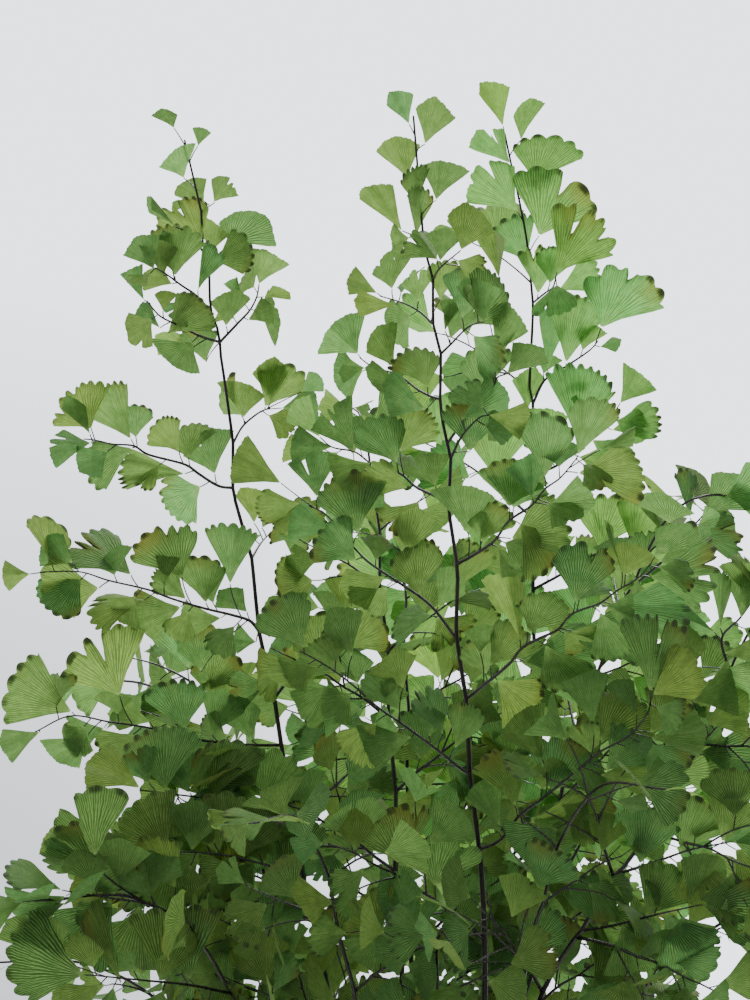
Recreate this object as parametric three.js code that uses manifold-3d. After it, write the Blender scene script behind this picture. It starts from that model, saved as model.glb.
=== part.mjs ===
// Potted maidenhair fern: a plain ceramic pot, its soil, the rhizome at the soil's surface and twenty-one
// fronds. Millimetres, +Z up, +Y away from the viewer, origin at the middle of the pot's flat base.
import * as THREE from "three";
import { mergeVertices } from "three/addons/utils/BufferGeometryUtils.js";
import Module from "manifold-3d";

const wasm = await Module();
wasm.setup();

// Clearance between pieces, and the grids that corners are snapped and welded to
const GAP = 0.3;
const WELD = 1e-4;
const GRIDS = [0.012, 0.016, 0.02, 0.025, 0.03];
const WELD_SHARE = 0.25;
const SMALLEST = 0.03;

// Pot, soil and rhizome. The soil's dome has a shoulder at a share of its radius and of its rise.
const POT = {
  height: 132, rimRadius: 77, baseRadius: 53, chamfer: 3, wall: 5, floor: 8,
  lipHeight: 14, lipOut: 2.5, lipChamfer: 1.5, sides: 32,
};
const SOIL = { top: 117, dome: 4, shoulder: 0.6, shoulderRise: 0.7, sides: 24 };
const RHIZOME = {
  length: 32, width: 29, depth: 9, around: 9, down: 5,
  lump: 0.07, lumpsLong: 7, lumpsWide: 6, lumpShift: 1,
};

// Stems and the plain holes they stand in
const HOLE = { length: 24, play: 0.7 };
const STEM = { footRadius: 1.6, tipRadius: 0.8, sides: 3, steps: 8 };
// How far a stem's section may be turned, in sides, so that its edges don't run along a spray's
const TWISTS = [0.5, 0.44, 0.57, 0.37, 0.65];
const FOOT_DEPTH = 2;
const FOOT_Z = SOIL.top - FOOT_DEPTH;

// A spray is one side stalk with its leaflets: a thin plate, bent along its rib
const RIB_HALF = 0.55;
const RIB_TAPER = 0.35;
const ROOT_HALF = 0.3;
const JOINT_HALF = 0.6;
const BLADE = 0.7;
const ARCH = 0.03;

const APEX_LENGTH = 26;
const APEX_OVERLAP = 4;

// Side stalks of an arching frond, counted from its tip
const PINNA_ANGLE = THREE.MathUtils.degToRad(54);
const PINNA_FALL = 0.12;
const PINNA_GROWTH = 0.42;
const FIRST_PINNA = 35;
const PINNA_STEP = 13;
const PINNA_STEP_GROWTH = 0.075;

// Leaflets, as shares of their length: how they stand along a rib and how deep a cleft one is cut
const LEAN = THREE.MathUtils.degToRad(60);
const HALF_FAN = THREE.MathUtils.degToRad(42);
const FIRST_LATERAL = 0.55;
const LAST_LATERAL = 0.85;
const SIDE_STEP = { tall: 1.24, arching: 1.5 };
const MAX_TILT = 0.28;
const CLEFT = { chance: 0.55, shallow: 0.78, deep: 0.58, wander: 0.1 };
const CLEFT_FAN = { low: [[1, 0.84], [0.45, 1]], high: [[-0.42, 1], [-1, 0.86]] };
const WHOLE_FAN = [[1, 0.84], [0.36, 1.02], [-0.36, 1], [-1, 0.88]];

// How far an arching frond's leaflets face outward, against 1 for upward
const FACE_OUT = 1.1;

// Turns that a side stalk tries, in degrees about its stem, until it hangs clear of its neighbours
const TURNS = [0, 9, -9, 18, -18, 27, -27, 38, -38, 50, -50];
const SHORTER = [1, 0.75, 0.5];

// A stem is a list of points. A branch is [height on the stem, end x, end y, end z].
const TALL_FRONDS = [
  {
    stem: [
      [9, -6], [15, -16, 180], [18, -22, 255], [11, -22, 332], [8, -20, 385], [3, -18, 432], [-2, -16, 481],
    ],
    leaf: [13, 14.5],
    branches: [
      [437, 20, -34, 444], [424, -13, -4, 435], [415, 23, -38, 424], [401, -18, -2, 416],
      [388, 24, -44, 404], [372, -25, 2, 391], [355, 50, -42, 389], [338, -20, -8, 370],
      [319, 65, -44, 358], [298, -28, -48, 328], [274, 65, -52, 319], [254, -25, -60, 284],
    ],
  },
  {
    stem: [
      [-10, 3], [-20, 8, 205], [-33, 10, 275], [-45, 10, 337], [-52, 8, 380], [-57, 6, 420], [-66, 2, 476],
    ],
    leaf: [9, 14],
    branches: [
      [440, -50, -8, 449], [428, -76, 16, 440], [417, -44, -12, 436], [408, -73, 20, 421],
      [391, -32, 20, 408], [376, -85, -10, 393], [358, -28, 30, 385], [337, -103, -10, 355],
      [319, -16, 34, 342], [303, -103, -14, 312], [285, -6, 36, 304], [256, -91, -24, 276],
    ],
  },
  {
    stem: [
      [3, 12], [12, 32, 180], [22, 52, 240], [34, 68, 333], [34, 71, 405], [34, 70, 445], [26, 68, 484],
    ],
    leaf: [14, 17],
    branches: [
      [452, 48, 56, 464], [440, 17, 80, 452], [424, 58, 52, 435], [408, 8, 84, 425],
      [387, 62, 52, 407], [370, 0, 90, 392], [350, 70, 54, 372], [331, -8, 94, 352],
      [311, 78, 62, 332], [290, -14, 92, 308], [267, 80, 66, 286],
    ],
  },
  {
    stem: [
      [14, -9], [22, -20, 190], [35, -25, 243], [61, -29, 284], [78, -29, 312], [90, -28, 338],
      [104, -26, 362],
    ],
    leaf: [13, 15],
    branches: [
      [334, 106, -42, 334], [322, 80, -14, 350], [309, 101, -48, 305], [297, 62, -14, 332],
      [285, 96, -50, 272], [272, 40, -44, 309], [256, 84, -52, 240], [240, 14, -52, 268],
    ],
  },
];

// The other fronds arch outward: [azimuth from +X in degrees, reach, top height, foot radius]
const ARCHING_FRONDS = [
  [115, 54, 402, 7], [206, 116, 268, 18], [244, 100, 292, 17], [274, 94, 262, 18],
  [308, 102, 300, 18], [343, 124, 262, 19], [20, 112, 376, 17], [46, 118, 292, 19],
  [94, 96, 368, 17], [126, 116, 300, 19], [158, 112, 322, 17], [182, 124, 246, 20],
];
const YOUNG_FRONDS = [
  [226, 92, 206, 22], [290, 86, 198, 21], [2, 94, 206, 23], [70, 90, 202, 21], [144, 92, 204, 23],
];
const ARCHING = { leaf: [11.5, 14], longestPinna: 50, bareStem: 50 };

// How an arching stem climbs: shares of its reach and rise. The first two start from its foot.
const ARC = { low: [0.09, 0.4], shoulder: [0.32, 0.8], drop: [0.72, 0.99] };
const HALVINGS = 30;
const SEED = 7;

// Seeded random numbers from 0 to 1
function seededRandom(seed) {
  let state = seed;
  return () => {
    state = (Math.imul(state, 1664525) + 1013904223) >>> 0;
    return state / 4294967296;
  };
}

// Solids
function weldedMesh(geometry, weld) {
  const bare = new THREE.BufferGeometry();
  bare.setAttribute("position", geometry.getAttribute("position"));
  bare.setIndex(geometry.getIndex());
  const welded = mergeVertices(bare, weld);
  const corners = welded.getIndex().array;
  const faces = new Map();
  for (let i = 0; i < corners.length; i += 3) {
    const face = [...corners.subarray(i, i + 3)];
    const key = [...face].sort((a, b) => a - b).join(" ");
    if (new Set(face).size < 3) continue;
    if (faces.has(key)) faces.delete(key);
    else faces.set(key, face);
  }
  const vertProperties = new Float32Array(welded.getAttribute("position").array);
  return { numProp: 3, vertProperties, triVerts: new Uint32Array([...faces.values()].flat()) };
}

function toSolid(geometry) {
  return new wasm.Manifold(new wasm.Mesh(weldedMesh(geometry, WELD)));
}

// Whether each edge lies between two faces, so that nowhere do two edges share one line
function closesPlainly({ triVerts }) {
  const uses = new Map();
  for (let i = 0; i < triVerts.length; i += 1) {
    const next = i % 3 === 2 ? i - 2 : i + 1;
    const edge = [triVerts[i], triVerts[next]].sort((a, b) => a - b).join(" ");
    uses.set(edge, (uses.get(edge) ?? 0) + 1);
  }
  return [...uses.values()].every((count) => count === 2);
}

function toGeometry(solid) {
  const mesh = solid.getMesh();
  const geometry = new THREE.BufferGeometry();
  geometry.setAttribute("position", new THREE.BufferAttribute(mesh.vertProperties, 3));
  geometry.setIndex(new THREE.BufferAttribute(mesh.triVerts, 1));
  geometry.computeVertexNormals();
  return geometry;
}

function closedGeometry(points, faces) {
  const geometry = new THREE.BufferGeometry();
  geometry.setAttribute("position", new THREE.Float32BufferAttribute(points.flatMap((p) => p.toArray()), 3));
  geometry.setIndex(faces);
  return geometry;
}

// How far the flattest corner of any face lies from its opposite edge
function thinnestFace({ vertProperties, triVerts }) {
  const triangle = new THREE.Triangle();
  const edges = [[triangle.a, triangle.b], [triangle.b, triangle.c], [triangle.c, triangle.a]];
  let thinnest = Infinity;
  for (let i = 0; i < triVerts.length; i += 3) {
    triangle.a.fromArray(vertProperties, 3 * triVerts[i]);
    triangle.b.fromArray(vertProperties, 3 * triVerts[i + 1]);
    triangle.c.fromArray(vertProperties, 3 * triVerts[i + 2]);
    const longest = Math.max(...edges.map(([p, q]) => p.distanceTo(q)));
    thinnest = Math.min(thinnest, (2 * triangle.getArea()) / longest);
  }
  return thinnest;
}

// The main body of the solid that joins best, without the hollows and scraps of a hair's size that joining
// leaves. Its corners are snapped to each grid in turn, and the one without needle-thin faces is kept.
function oneBody(solids) {
  let best = { thinnest: 0 };
  for (const [choice, solid] of solids.entries()) {
    const bodies = solid.simplify(SMALLEST).decompose();
    const body = bodies.reduce((most, other) => (other.volume() > most.volume() ? other : most));
    for (const grid of GRIDS) {
      const geometry = toGeometry(body);
      const { array } = geometry.getAttribute("position");
      array.forEach((value, i) => {
        array[i] = Math.round(value / grid) * grid;
      });
      const mesh = weldedMesh(geometry, grid * WELD_SHARE);
      const thinnest = closesPlainly(mesh) ? thinnestFace(mesh) : 0;
      if (thinnest > best.thinnest) best = { mesh, thinnest, choice };
    }
  }
  if (!best.mesh) throw new Error("a joined body doesn't close");
  return { solid: new wasm.Manifold(new wasm.Mesh(best.mesh)), choice: best.choice };
}

function turned(profile, sides) {
  const points = profile.map(([radius, z]) => new THREE.Vector2(radius, z));
  return toSolid(new THREE.LatheGeometry(points, sides).rotateX(Math.PI / 2));
}

// Pot and soil
function wallRadius(z) {
  return POT.baseRadius + ((POT.rimRadius - POT.lipOut - POT.baseRadius) * z) / POT.height;
}

function potSolid() {
  const lipFoot = POT.height - POT.lipHeight;
  return turned([
    [0, 0],
    [wallRadius(0) - POT.chamfer, 0],
    [wallRadius(POT.chamfer), POT.chamfer],
    [wallRadius(lipFoot), lipFoot],
    [POT.rimRadius, lipFoot + POT.lipOut],
    [POT.rimRadius, POT.height - POT.lipChamfer],
    [POT.rimRadius - POT.lipChamfer, POT.height],
    [wallRadius(POT.height) - POT.wall, POT.height],
    [wallRadius(POT.floor) - POT.wall, POT.floor],
    [0, POT.floor],
  ], POT.sides);
}

function soilSolid() {
  const bottom = POT.floor + GAP;
  const side = POT.wall + GAP * 2;
  return turned([
    [0, bottom],
    [wallRadius(bottom) - side, bottom],
    [wallRadius(SOIL.top) - side, SOIL.top],
    [wallRadius(SOIL.top) * SOIL.shoulder, SOIL.top + SOIL.dome * SOIL.shoulderRise],
    [0, SOIL.top + SOIL.dome],
  ], SOIL.sides);
}

// A low knobbly body, half sunk in the soil
function rhizomeSolid(grow) {
  const geometry = new THREE.SphereGeometry(1, RHIZOME.around, RHIZOME.down);
  const position = geometry.getAttribute("position");
  const point = new THREE.Vector3();
  for (let i = 0; i < position.count; i += 1) {
    point.fromBufferAttribute(position, i);
    const alongWave = Math.sin(point.x * RHIZOME.lumpsLong + RHIZOME.lumpShift);
    const acrossWave = Math.cos(point.z * RHIZOME.lumpsWide);
    const lump = 1 + RHIZOME.lump * alongWave * acrossWave * (1 - point.y * point.y);
    position.setXYZ(
      i,
      point.x * (RHIZOME.length * lump + grow),
      -point.z * (RHIZOME.width * lump + grow),
      SOIL.top + SOIL.dome + point.y * (RHIZOME.depth * lump + grow),
    );
  }
  return toSolid(geometry);
}

// A stem or a rib: a smooth curve, with one fixed direction that it never runs along
function frameAt(curve, reference, distance) {
  const length = curve.getLength();
  const t = THREE.MathUtils.clamp(distance / length, 0, 1);
  const along = curve.getTangentAt(t);
  const point = curve.getPointAt(t).addScaledVector(along, distance - t * length);
  const out = reference.clone().addScaledVector(along, -reference.dot(along)).normalize();
  const across = new THREE.Vector3().crossVectors(out, along);
  return { point, along, out, across };
}

function stemTube(curve, reference, { from, to, radiusAt, steps, twist }) {
  const { sides } = STEM;
  const points = [];
  const faces = [];
  for (let i = 0; i <= steps; i += 1) {
    const distance = from + ((to - from) * i) / steps;
    const { point, out, across } = frameAt(curve, reference, distance);
    const radius = radiusAt(distance);
    for (let j = 0; j < sides; j += 1) {
      const angle = (2 * Math.PI * (j + twist)) / sides;
      points.push(
        point.clone()
          .addScaledVector(out, radius * Math.cos(angle))
          .addScaledVector(across, radius * Math.sin(angle)),
      );
    }
  }
  for (let i = 0; i < steps; i += 1) {
    for (let j = 0; j < sides; j += 1) {
      const a = i * sides + j;
      const b = i * sides + ((j + 1) % sides);
      faces.push(a, b + sides, b, a, a + sides, b + sides);
    }
  }
  const last = steps * sides;
  for (let j = 1; j < sides - 1; j += 1) {
    faces.push(0, j, j + 1, last, last + j + 1, last + j);
  }
  return toSolid(closedGeometry(points, faces));
}

// One leaflet's outline about its root on the rib: [angle from its middle, share of its length]
function leafletOutline(random) {
  const middle = (2 * random() - 1) * CLEFT.wander;
  const depth = THREE.MathUtils.lerp(CLEFT.deep, CLEFT.shallow, random());
  if (random() < CLEFT.chance) return [...CLEFT_FAN.low, [middle, depth], ...CLEFT_FAN.high];
  return WHOLE_FAN;
}

// A leaflet's faces, from its two corners on the rib to its outer points in order
function fanFaces(first, outer, last) {
  const middle = outer[Math.floor(outer.length / 2)];
  const faces = [[first, middle, last]];
  outer.slice(1).forEach((point, i) => {
    const onFirstSide = i + 1 <= Math.floor(outer.length / 2);
    faces.push([onFirstSide ? first : last, outer[i], point]);
  });
  return faces;
}

// The faces of a narrow strip between two rows of points, each in order along the rib
function stripFaces(points, low, high) {
  const faces = [];
  let a = 0;
  let b = 0;
  while (a + 1 < low.length || b + 1 < high.length) {
    const lowNext = points[low[a + 1]]?.s ?? Infinity;
    const highNext = points[high[b + 1]]?.s ?? Infinity;
    if (lowNext <= highNext) {
      faces.push([low[a], low[a + 1], high[b]]);
      a += 1;
    } else {
      faces.push([low[a], high[b + 1], high[b]]);
      b += 1;
    }
  }
  return faces;
}

function facingUp(points, [a, b, c]) {
  const [p, q, r] = [points[a], points[b], points[c]];
  const turn = (q.s - p.s) * (r.w - p.w) - (r.s - p.s) * (q.w - p.w);
  return turn > 0 ? [a, b, c] : [a, c, b];
}

// A side stalk with its leaflets, flat along its rib: s runs along it, w across it. The rim lists its
// points in order, and the faces split it into a strip along the rib and a fan for each leaflet.
function spray(length, size, sideStep, firstSide, random) {
  const points = [];
  const faces = [];
  const addPoint = (s, w, tilt) => points.push({ s, w, tilt }) - 1;
  const ribHalf = (s) => RIB_HALF * (1 - RIB_TAPER * (s / length) ** 2);
  const ribEdges = { 1: [addPoint(0, ROOT_HALF, 0)], [-1]: [addPoint(0, -ROOT_HALF, 0)] };
  const rims = { 1: [ribEdges[1][0]], [-1]: [ribEdges[-1][0]] };
  const laterals = [];
  let nextSide = firstSide;
  for (let s = length - LAST_LATERAL * size; s > FIRST_LATERAL * size; s -= sideStep * size) {
    const tilt = MAX_TILT * (2 * random() - 1);
    laterals.unshift({ s, tilt, side: nextSide, outline: leafletOutline(random) });
    nextSide = -nextSide;
  }
  for (const { s, tilt, side, outline } of laterals) {
    const first = addPoint(s - JOINT_HALF, side * ribHalf(s - JOINT_HALF), 0);
    const outer = outline.map(([turn, share]) => {
      const angle = LEAN + turn * HALF_FAN;
      const reach = size * share;
      return addPoint(s + reach * Math.cos(angle), side * reach * Math.sin(angle), tilt);
    });
    const last = addPoint(s + JOINT_HALF, side * ribHalf(s + JOINT_HALF), 0);
    faces.push(...fanFaces(first, outer, last));
    ribEdges[side].push(first, last);
    rims[side].push(first, ...outer, last);
  }
  const lowCorner = addPoint(length, -ribHalf(length), 0);
  const tip = leafletOutline(random).map(([turn, share]) => (
    addPoint(length + size * share * Math.cos(turn * HALF_FAN), size * share * Math.sin(turn * HALF_FAN), 0)
  )).reverse();
  const highCorner = addPoint(length, ribHalf(length), 0);
  faces.push(...fanFaces(lowCorner, tip, highCorner));
  ribEdges[-1].push(lowCorner);
  ribEdges[1].push(highCorner);
  faces.push(...stripFaces(points, ribEdges[-1], ribEdges[1]));
  return {
    points,
    faces: faces.map((face) => facingUp(points, face)),
    rim: [...rims[-1], lowCorner, ...tip, highCorner, ...rims[1].reverse()],
  };
}

// A thin closed plate over a spray, bent along the rib, its two faces split alike and thickened one way
function sprayPlate({ points, faces, rim }, curve, reference, start) {
  const count = points.length;
  const middle = Math.max(...points.map(({ s }) => s)) / 2;
  const thickness = frameAt(curve, reference, start + middle).out.multiplyScalar(BLADE / 2);
  const front = [];
  const back = [];
  for (const { s, w, tilt } of points) {
    const { point, out, across } = frameAt(curve, reference, start + s);
    const lift = Math.abs(w) * Math.tan(tilt);
    point.addScaledVector(across, w).addScaledVector(out, lift);
    front.push(point.clone().add(thickness));
    back.push(point.sub(thickness));
  }
  const skin = faces.flatMap(([a, b, c]) => [a, b, c, count + a, count + c, count + b]);
  rim.forEach((a, i) => {
    const b = rim[(i + 1) % count];
    skin.push(a, count + a, count + b, a, count + b, b);
  });
  return toSolid(closedGeometry([...front, ...back], skin));
}

// Fronds
function direction(azimuth) {
  const angle = THREE.MathUtils.degToRad(azimuth);
  return new THREE.Vector3(Math.cos(angle), Math.sin(angle), 0);
}

// A tall frond faces the viewer, and its side stalks end at given points
function tallFrond({ stem, leaf, branches }) {
  const [[x, y], ...rest] = stem;
  const points = [[x, y, FOOT_Z], ...rest].map((p) => new THREE.Vector3(...p));
  const curve = new THREE.CatmullRomCurve3(points, false, "centripetal");
  const face = new THREE.Vector3(0, -1, 0.25).normalize();
  const length = curve.getLength();
  const stalks = branches.map(([height, ...end]) => {
    const distance = distanceAtHeight(curve, height);
    return { distance, end: new THREE.Vector3(...end), fromTip: length - distance };
  });
  return { curve, face, stemFace: face, leaf, stalks, sideStep: SIDE_STEP.tall };
}

function distanceAtHeight(curve, height) {
  const length = curve.getLength();
  let low = 0;
  let high = length;
  for (let i = 0; i < HALVINGS; i += 1) {
    const middle = (low + high) / 2;
    if (curve.getPointAt(middle / length).z < height) low = middle;
    else high = middle;
  }
  return low;
}

// An arching frond leans out at one azimuth and carries its side stalks by rule
function archingFrond([azimuth, reach, top, foot], random) {
  const out = direction(azimuth);
  const rise = top - FOOT_Z;
  const at = (start, [outShare, upShare]) => (
    out.clone().multiplyScalar(start + outShare * reach).setZ(FOOT_Z + upShare * rise)
  );
  const curve = new THREE.CatmullRomCurve3([
    at(foot, [0, 0]),
    at(foot, ARC.low),
    at(foot, ARC.shoulder),
    at(0, ARC.drop),
    at(0, [1, 1]),
  ], false, "centripetal");
  const across = new THREE.Vector3(-out.y, out.x, 0);
  const length = curve.getLength();
  const stalks = [];
  let side = random() < 0.5 ? 1 : -1;
  let fromTip = FIRST_PINNA;
  while (length - fromTip > ARCHING.bareStem) {
    const distance = length - fromTip;
    const { point, along } = frameAt(curve, across, distance);
    const stretch = Math.min(PINNA_GROWTH * fromTip, ARCHING.longestPinna);
    const end = point.clone()
      .addScaledVector(along, stretch * Math.cos(PINNA_ANGLE))
      .addScaledVector(across, side * stretch * Math.sin(PINNA_ANGLE));
    end.z -= PINNA_FALL * stretch;
    stalks.push({ distance, end, fromTip });
    side = -side;
    fromTip += PINNA_STEP + PINNA_STEP_GROWTH * fromTip;
  }
  const face = out.clone().multiplyScalar(FACE_OUT).setZ(1).normalize();
  return { curve, face, stemFace: across, leaf: ARCHING.leaf, stalks, sideStep: SIDE_STEP.arching };
}

// The solids already placed, with what each belongs to. A spray grows out of its own stem.
const placed = [];

function boxesMeet(a, b) {
  return [0, 1, 2].every((k) => a.min[k] - GAP < b.max[k] && b.min[k] - GAP < a.max[k]);
}

function isClear(solid, ownStem) {
  const box = solid.boundingBox();
  return placed.every((other) => (
    other.solid === ownStem || !boxesMeet(box, other.box) || solid.minGap(other.solid, 2 * GAP) > GAP
  ));
}

function place(solid) {
  placed.push({ solid, box: solid.boundingBox() });
  return solid;
}

function stemRadius(curve) {
  const length = curve.getLength();
  return (distance) => THREE.MathUtils.lerp(STEM.footRadius, STEM.tipRadius, Math.min(distance / length, 1));
}

function stemSolid(frond, twist) {
  const to = frond.curve.getLength() - APEX_LENGTH;
  const radiusAt = stemRadius(frond.curve);
  return stemTube(frond.curve, frond.stemFace, { from: 0, to, radiusAt, steps: STEM.steps, twist });
}

function joinFrond(frond) {
  const joins = TWISTS.map((twist) => wasm.Manifold.union([stemSolid(frond, twist), ...frond.sprays]));
  const { solid, choice } = oneBody(joins);
  frond.whole = solid;
  frond.twist = TWISTS[choice];
}

// The plain hole that a stem stands in, through the soil and down into the rhizome
function holeFor(frond) {
  const radiusAt = (distance) => stemRadius(frond.curve)(distance) + HOLE.play;
  const { twist } = frond;
  return stemTube(frond.curve, frond.stemFace, { from: -GAP, to: HOLE.length, radiusAt, steps: 1, twist });
}

function apexSolid(frond, random) {
  const start = frond.curve.getLength() - APEX_LENGTH - APEX_OVERLAP;
  const outline = spray(APEX_LENGTH + APEX_OVERLAP, frond.leaf[0], frond.sideStep, 1, random);
  return sprayPlate(outline, frond.curve, frond.face, start);
}

// The middle of the stem between two of its rings, which lie on a chord of its curve
function stemMiddle(frond, distance) {
  const stretch = (frond.curve.getLength() - APEX_LENGTH) / STEM.steps;
  const ring = Math.min(Math.floor(distance / stretch), STEM.steps - 1);
  const low = frameAt(frond.curve, frond.face, ring * stretch).point;
  const high = frameAt(frond.curve, frond.face, (ring + 1) * stretch).point;
  return low.lerp(high, distance / stretch - ring);
}

function stalkSolid(frond, stalk, random) {
  const { along } = frameAt(frond.curve, frond.face, stalk.distance);
  const point = stemMiddle(frond, stalk.distance);
  const share = stalk.distance / frond.curve.getLength();
  const size = THREE.MathUtils.lerp(frond.leaf[1], frond.leaf[0], share);
  const whole = stalk.end.clone().sub(point);
  const firstSide = random() < 0.5 ? 1 : -1;
  for (const part of SHORTER) {
    const reach = whole.clone().multiplyScalar(part);
    const outline = spray(reach.length(), size, frond.sideStep, firstSide, random);
    for (const turn of TURNS) {
      const solid = sprayPlate(outline, ...bentRib(frond, point, along, reach, turn), 0);
      if (isClear(solid, frond.stem)) return solid;
    }
  }
  return null;
}

function bentRib(frond, point, along, reach, turn) {
  const angle = THREE.MathUtils.degToRad(turn);
  const swung = reach.clone().applyAxisAngle(along, angle);
  const middle = point.clone().addScaledVector(swung, 0.5);
  middle.z += ARCH * reach.length();
  const rib = new THREE.QuadraticBezierCurve3(point, middle, point.clone().add(swung));
  return [rib, frond.face.clone().applyAxisAngle(along, angle)];
}

// The fern
const random = seededRandom(SEED);
const pot = place(potSolid());
const fronds = [
  ...TALL_FRONDS.map(tallFrond),
  ...[...ARCHING_FRONDS, ...YOUNG_FRONDS].map((row) => archingFrond(row, random)),
];

// Every stem stands before any spray grows, and every tip before the side stalks
for (const frond of fronds) {
  frond.stem = place(stemSolid(frond, TWISTS[0]));
}
for (const frond of fronds) {
  frond.sprays = [place(apexSolid(frond, random))];
}
for (const frond of fronds) {
  for (const stalk of frond.stalks) {
    const spraySolid = stalkSolid(frond, stalk, random);
    if (spraySolid) frond.sprays.push(place(spraySolid));
  }
}

fronds.forEach(joinFrond);
const holes = fronds.map(holeFor);
const rhizome = oneBody([wasm.Manifold.difference([rhizomeSolid(0), ...holes])]).solid;
const soil = oneBody([wasm.Manifold.difference([soilSolid(), rhizomeSolid(GAP), ...holes])]).solid;

const CERAMIC = new THREE.MeshStandardMaterial({ color: 0xd9d6cf, roughness: 0.45, metalness: 0 });
const EARTH = new THREE.MeshStandardMaterial({ color: 0x2e231b, roughness: 0.95, metalness: 0 });
const SCALES = new THREE.MeshStandardMaterial({ color: 0x3c2418, roughness: 0.8, metalness: 0 });
const LEAF = new THREE.MeshStandardMaterial({ color: 0x55803c, roughness: 0.55, metalness: 0 });

const fern = new THREE.Group();

function addPart(name, solid, material) {
  const mesh = new THREE.Mesh(toGeometry(solid), material);
  mesh.name = name;
  fern.add(mesh);
}

addPart("pot", pot, CERAMIC);
addPart("soil", soil, EARTH);
addPart("rhizome", rhizome, SCALES);
fronds.forEach((frond, i) => {
  addPart(`frond_${String(i + 1).padStart(2, "0")}`, frond.whole, LEAF);
});

export default fern;
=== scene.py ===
"""Looks of the potted maidenhair fern: fine stems and leaflets over the same stems and side stalks as the
solids, a glazed pot, potting soil and a scaly rhizome. Lengths are millimetres until a mesh is made."""

import math

import bpy
import numpy as np
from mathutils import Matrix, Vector


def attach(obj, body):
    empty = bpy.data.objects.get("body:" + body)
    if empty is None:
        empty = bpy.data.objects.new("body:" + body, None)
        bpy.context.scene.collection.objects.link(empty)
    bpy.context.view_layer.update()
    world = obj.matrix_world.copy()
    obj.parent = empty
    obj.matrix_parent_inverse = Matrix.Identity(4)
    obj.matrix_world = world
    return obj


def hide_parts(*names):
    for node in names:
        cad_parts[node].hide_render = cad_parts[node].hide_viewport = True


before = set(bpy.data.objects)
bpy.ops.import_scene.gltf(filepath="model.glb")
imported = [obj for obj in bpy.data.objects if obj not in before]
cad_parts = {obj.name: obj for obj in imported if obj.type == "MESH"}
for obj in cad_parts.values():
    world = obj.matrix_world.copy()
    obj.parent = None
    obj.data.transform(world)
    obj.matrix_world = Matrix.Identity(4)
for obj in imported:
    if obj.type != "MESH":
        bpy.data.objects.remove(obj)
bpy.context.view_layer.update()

METRES = 0.001

# The photograph's view: where the camera stands, and how many millimetres a pixel is at y = 0
EYE = (-12.6, -1100.0, 375.0)
VIEW_HEIGHT = 280.0
PHOTO_WIDTH = 750
PHOTO_HEIGHT = 1000
PIXEL = VIEW_HEIGHT / PHOTO_HEIGHT
SENSOR = 36.0

# Pot, soil and rhizome
NEAR_AXIS = 0.01
POT_HEIGHT = 132
POT_RIM = 77
POT_BASE = 53
POT_WALL = 5
POT_FLOOR = 8
POT_CHAMFER = 3
POT_EDGE = 1.5
POT_ROUNDING = 2.2
POT_SIDES = 144
LIP_HEIGHT = 14
LIP_OUT = 2.5
SOIL_TOP = 117
SOIL_DOME = 4
SOIL_BUMP = 0.7
SOIL_WAVE = 0.12
SOIL_SEED = 3
SOIL_PLAY = 0.5
SOIL_DIP = 6
SOIL_RINGS = 60
SOIL_SIDES = 180
# Lumps strewn on the soil: how many, their sizes, how squashed they are, their seed, and how far they are
# raised as a share of their least size
CRUMBS = (900, (0.7, 2.2), (0.6, 1.0), 5, 0.4)
BARK = (110, (2.0, 4.6), (0.35, 0.6), 6, 0.5)
GRAINS = (120, (0.7, 1.7), (0.7, 1.0), 8, 0.5)
RHIZOME_SIZE = (32, 29, 9)
RHIZOME_END = 0.6 * math.pi
RHIZOME_RINGS = 30
RHIZOME_SIDES = 90
SCALES = 900
SCALE_LENGTH = (2.2, 4.6)
SCALE_WIDTH = 0.45
SCALE_SEED = 12

# Stems, with how many sides and points their tubes have
FOOT_Z = SOIL_TOP - 2
FOOT_RADIUS = 1.3
TIP_RADIUS = 0.28
TAPER = 0.7
STALK_RADIUS = 0.5
STALK_TIP_RADIUS = 0.2
FULL_STALK = 90
THINNEST_STALK = 0.6
STALK_TO_STEM = 0.75
BRANCH_RADIUS = 0.3
PETIOLE_RADIUS = 0.15
STEM_SIDES = 10
STALK_SIDES = 6
PETIOLE_SIDES = 4
STEM_POINTS = 90
RIB_POINTS = 14
ACROSS_AT = 0.6
ZIGZAG = 0.6
RIB_ZIGZAG = 0.36
BEND = 1.3
ARCH = 0.09
APEX_LENGTH = 30
APEX_STEP = (5.5, 8.5)
APEX_LEAST = 6.5
APEX_TIP_LEAN = 0.2
APEX_LEAN_FACTOR = (0.7, 1.1)
APEX_SIZES = (0.8, 0.88, 0.96, 1.04)
APEX_SIZE_FACTOR = (0.9, 1.1)

# Leaflets along a rib. A step and a leaflet's stalk are shares of its length, a factor is drawn at random.
LEAN = math.radians(50)
LEAN_FACTOR = (0.75, 1.2)
TIP_LEAN = 0.25
LAST_LEAFLET = 0.98
FIRST_LEAFLET = 0.45
LATERAL_STEP = 0.52
STEP_FACTOR = (0.9, 1.12)
PETIOLE = 0.24
PETIOLE_FACTOR = (0.8, 1.25)
PETIOLE_SAG = 0.06
PETIOLE_INTO_LEAFLET = 0.25
PETIOLE_FOOT = 1.2
SIZE_FACTOR = (0.84, 1.14)
ROOT_OFF = (-0.4, 0.6)
LEAF_TILT = 0.26
FACE_TILT = 0.42
FACE_SPREAD = 0.12
TALL_FACE = (0, -1, 0.25)
# An arching frond's leaflets face up, outward, and towards the viewer or, from one direction on, the back
FACE_OUT = 1.2
FACE_TURN = 0.7
TO_BACK_FROM = 0.3

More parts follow.
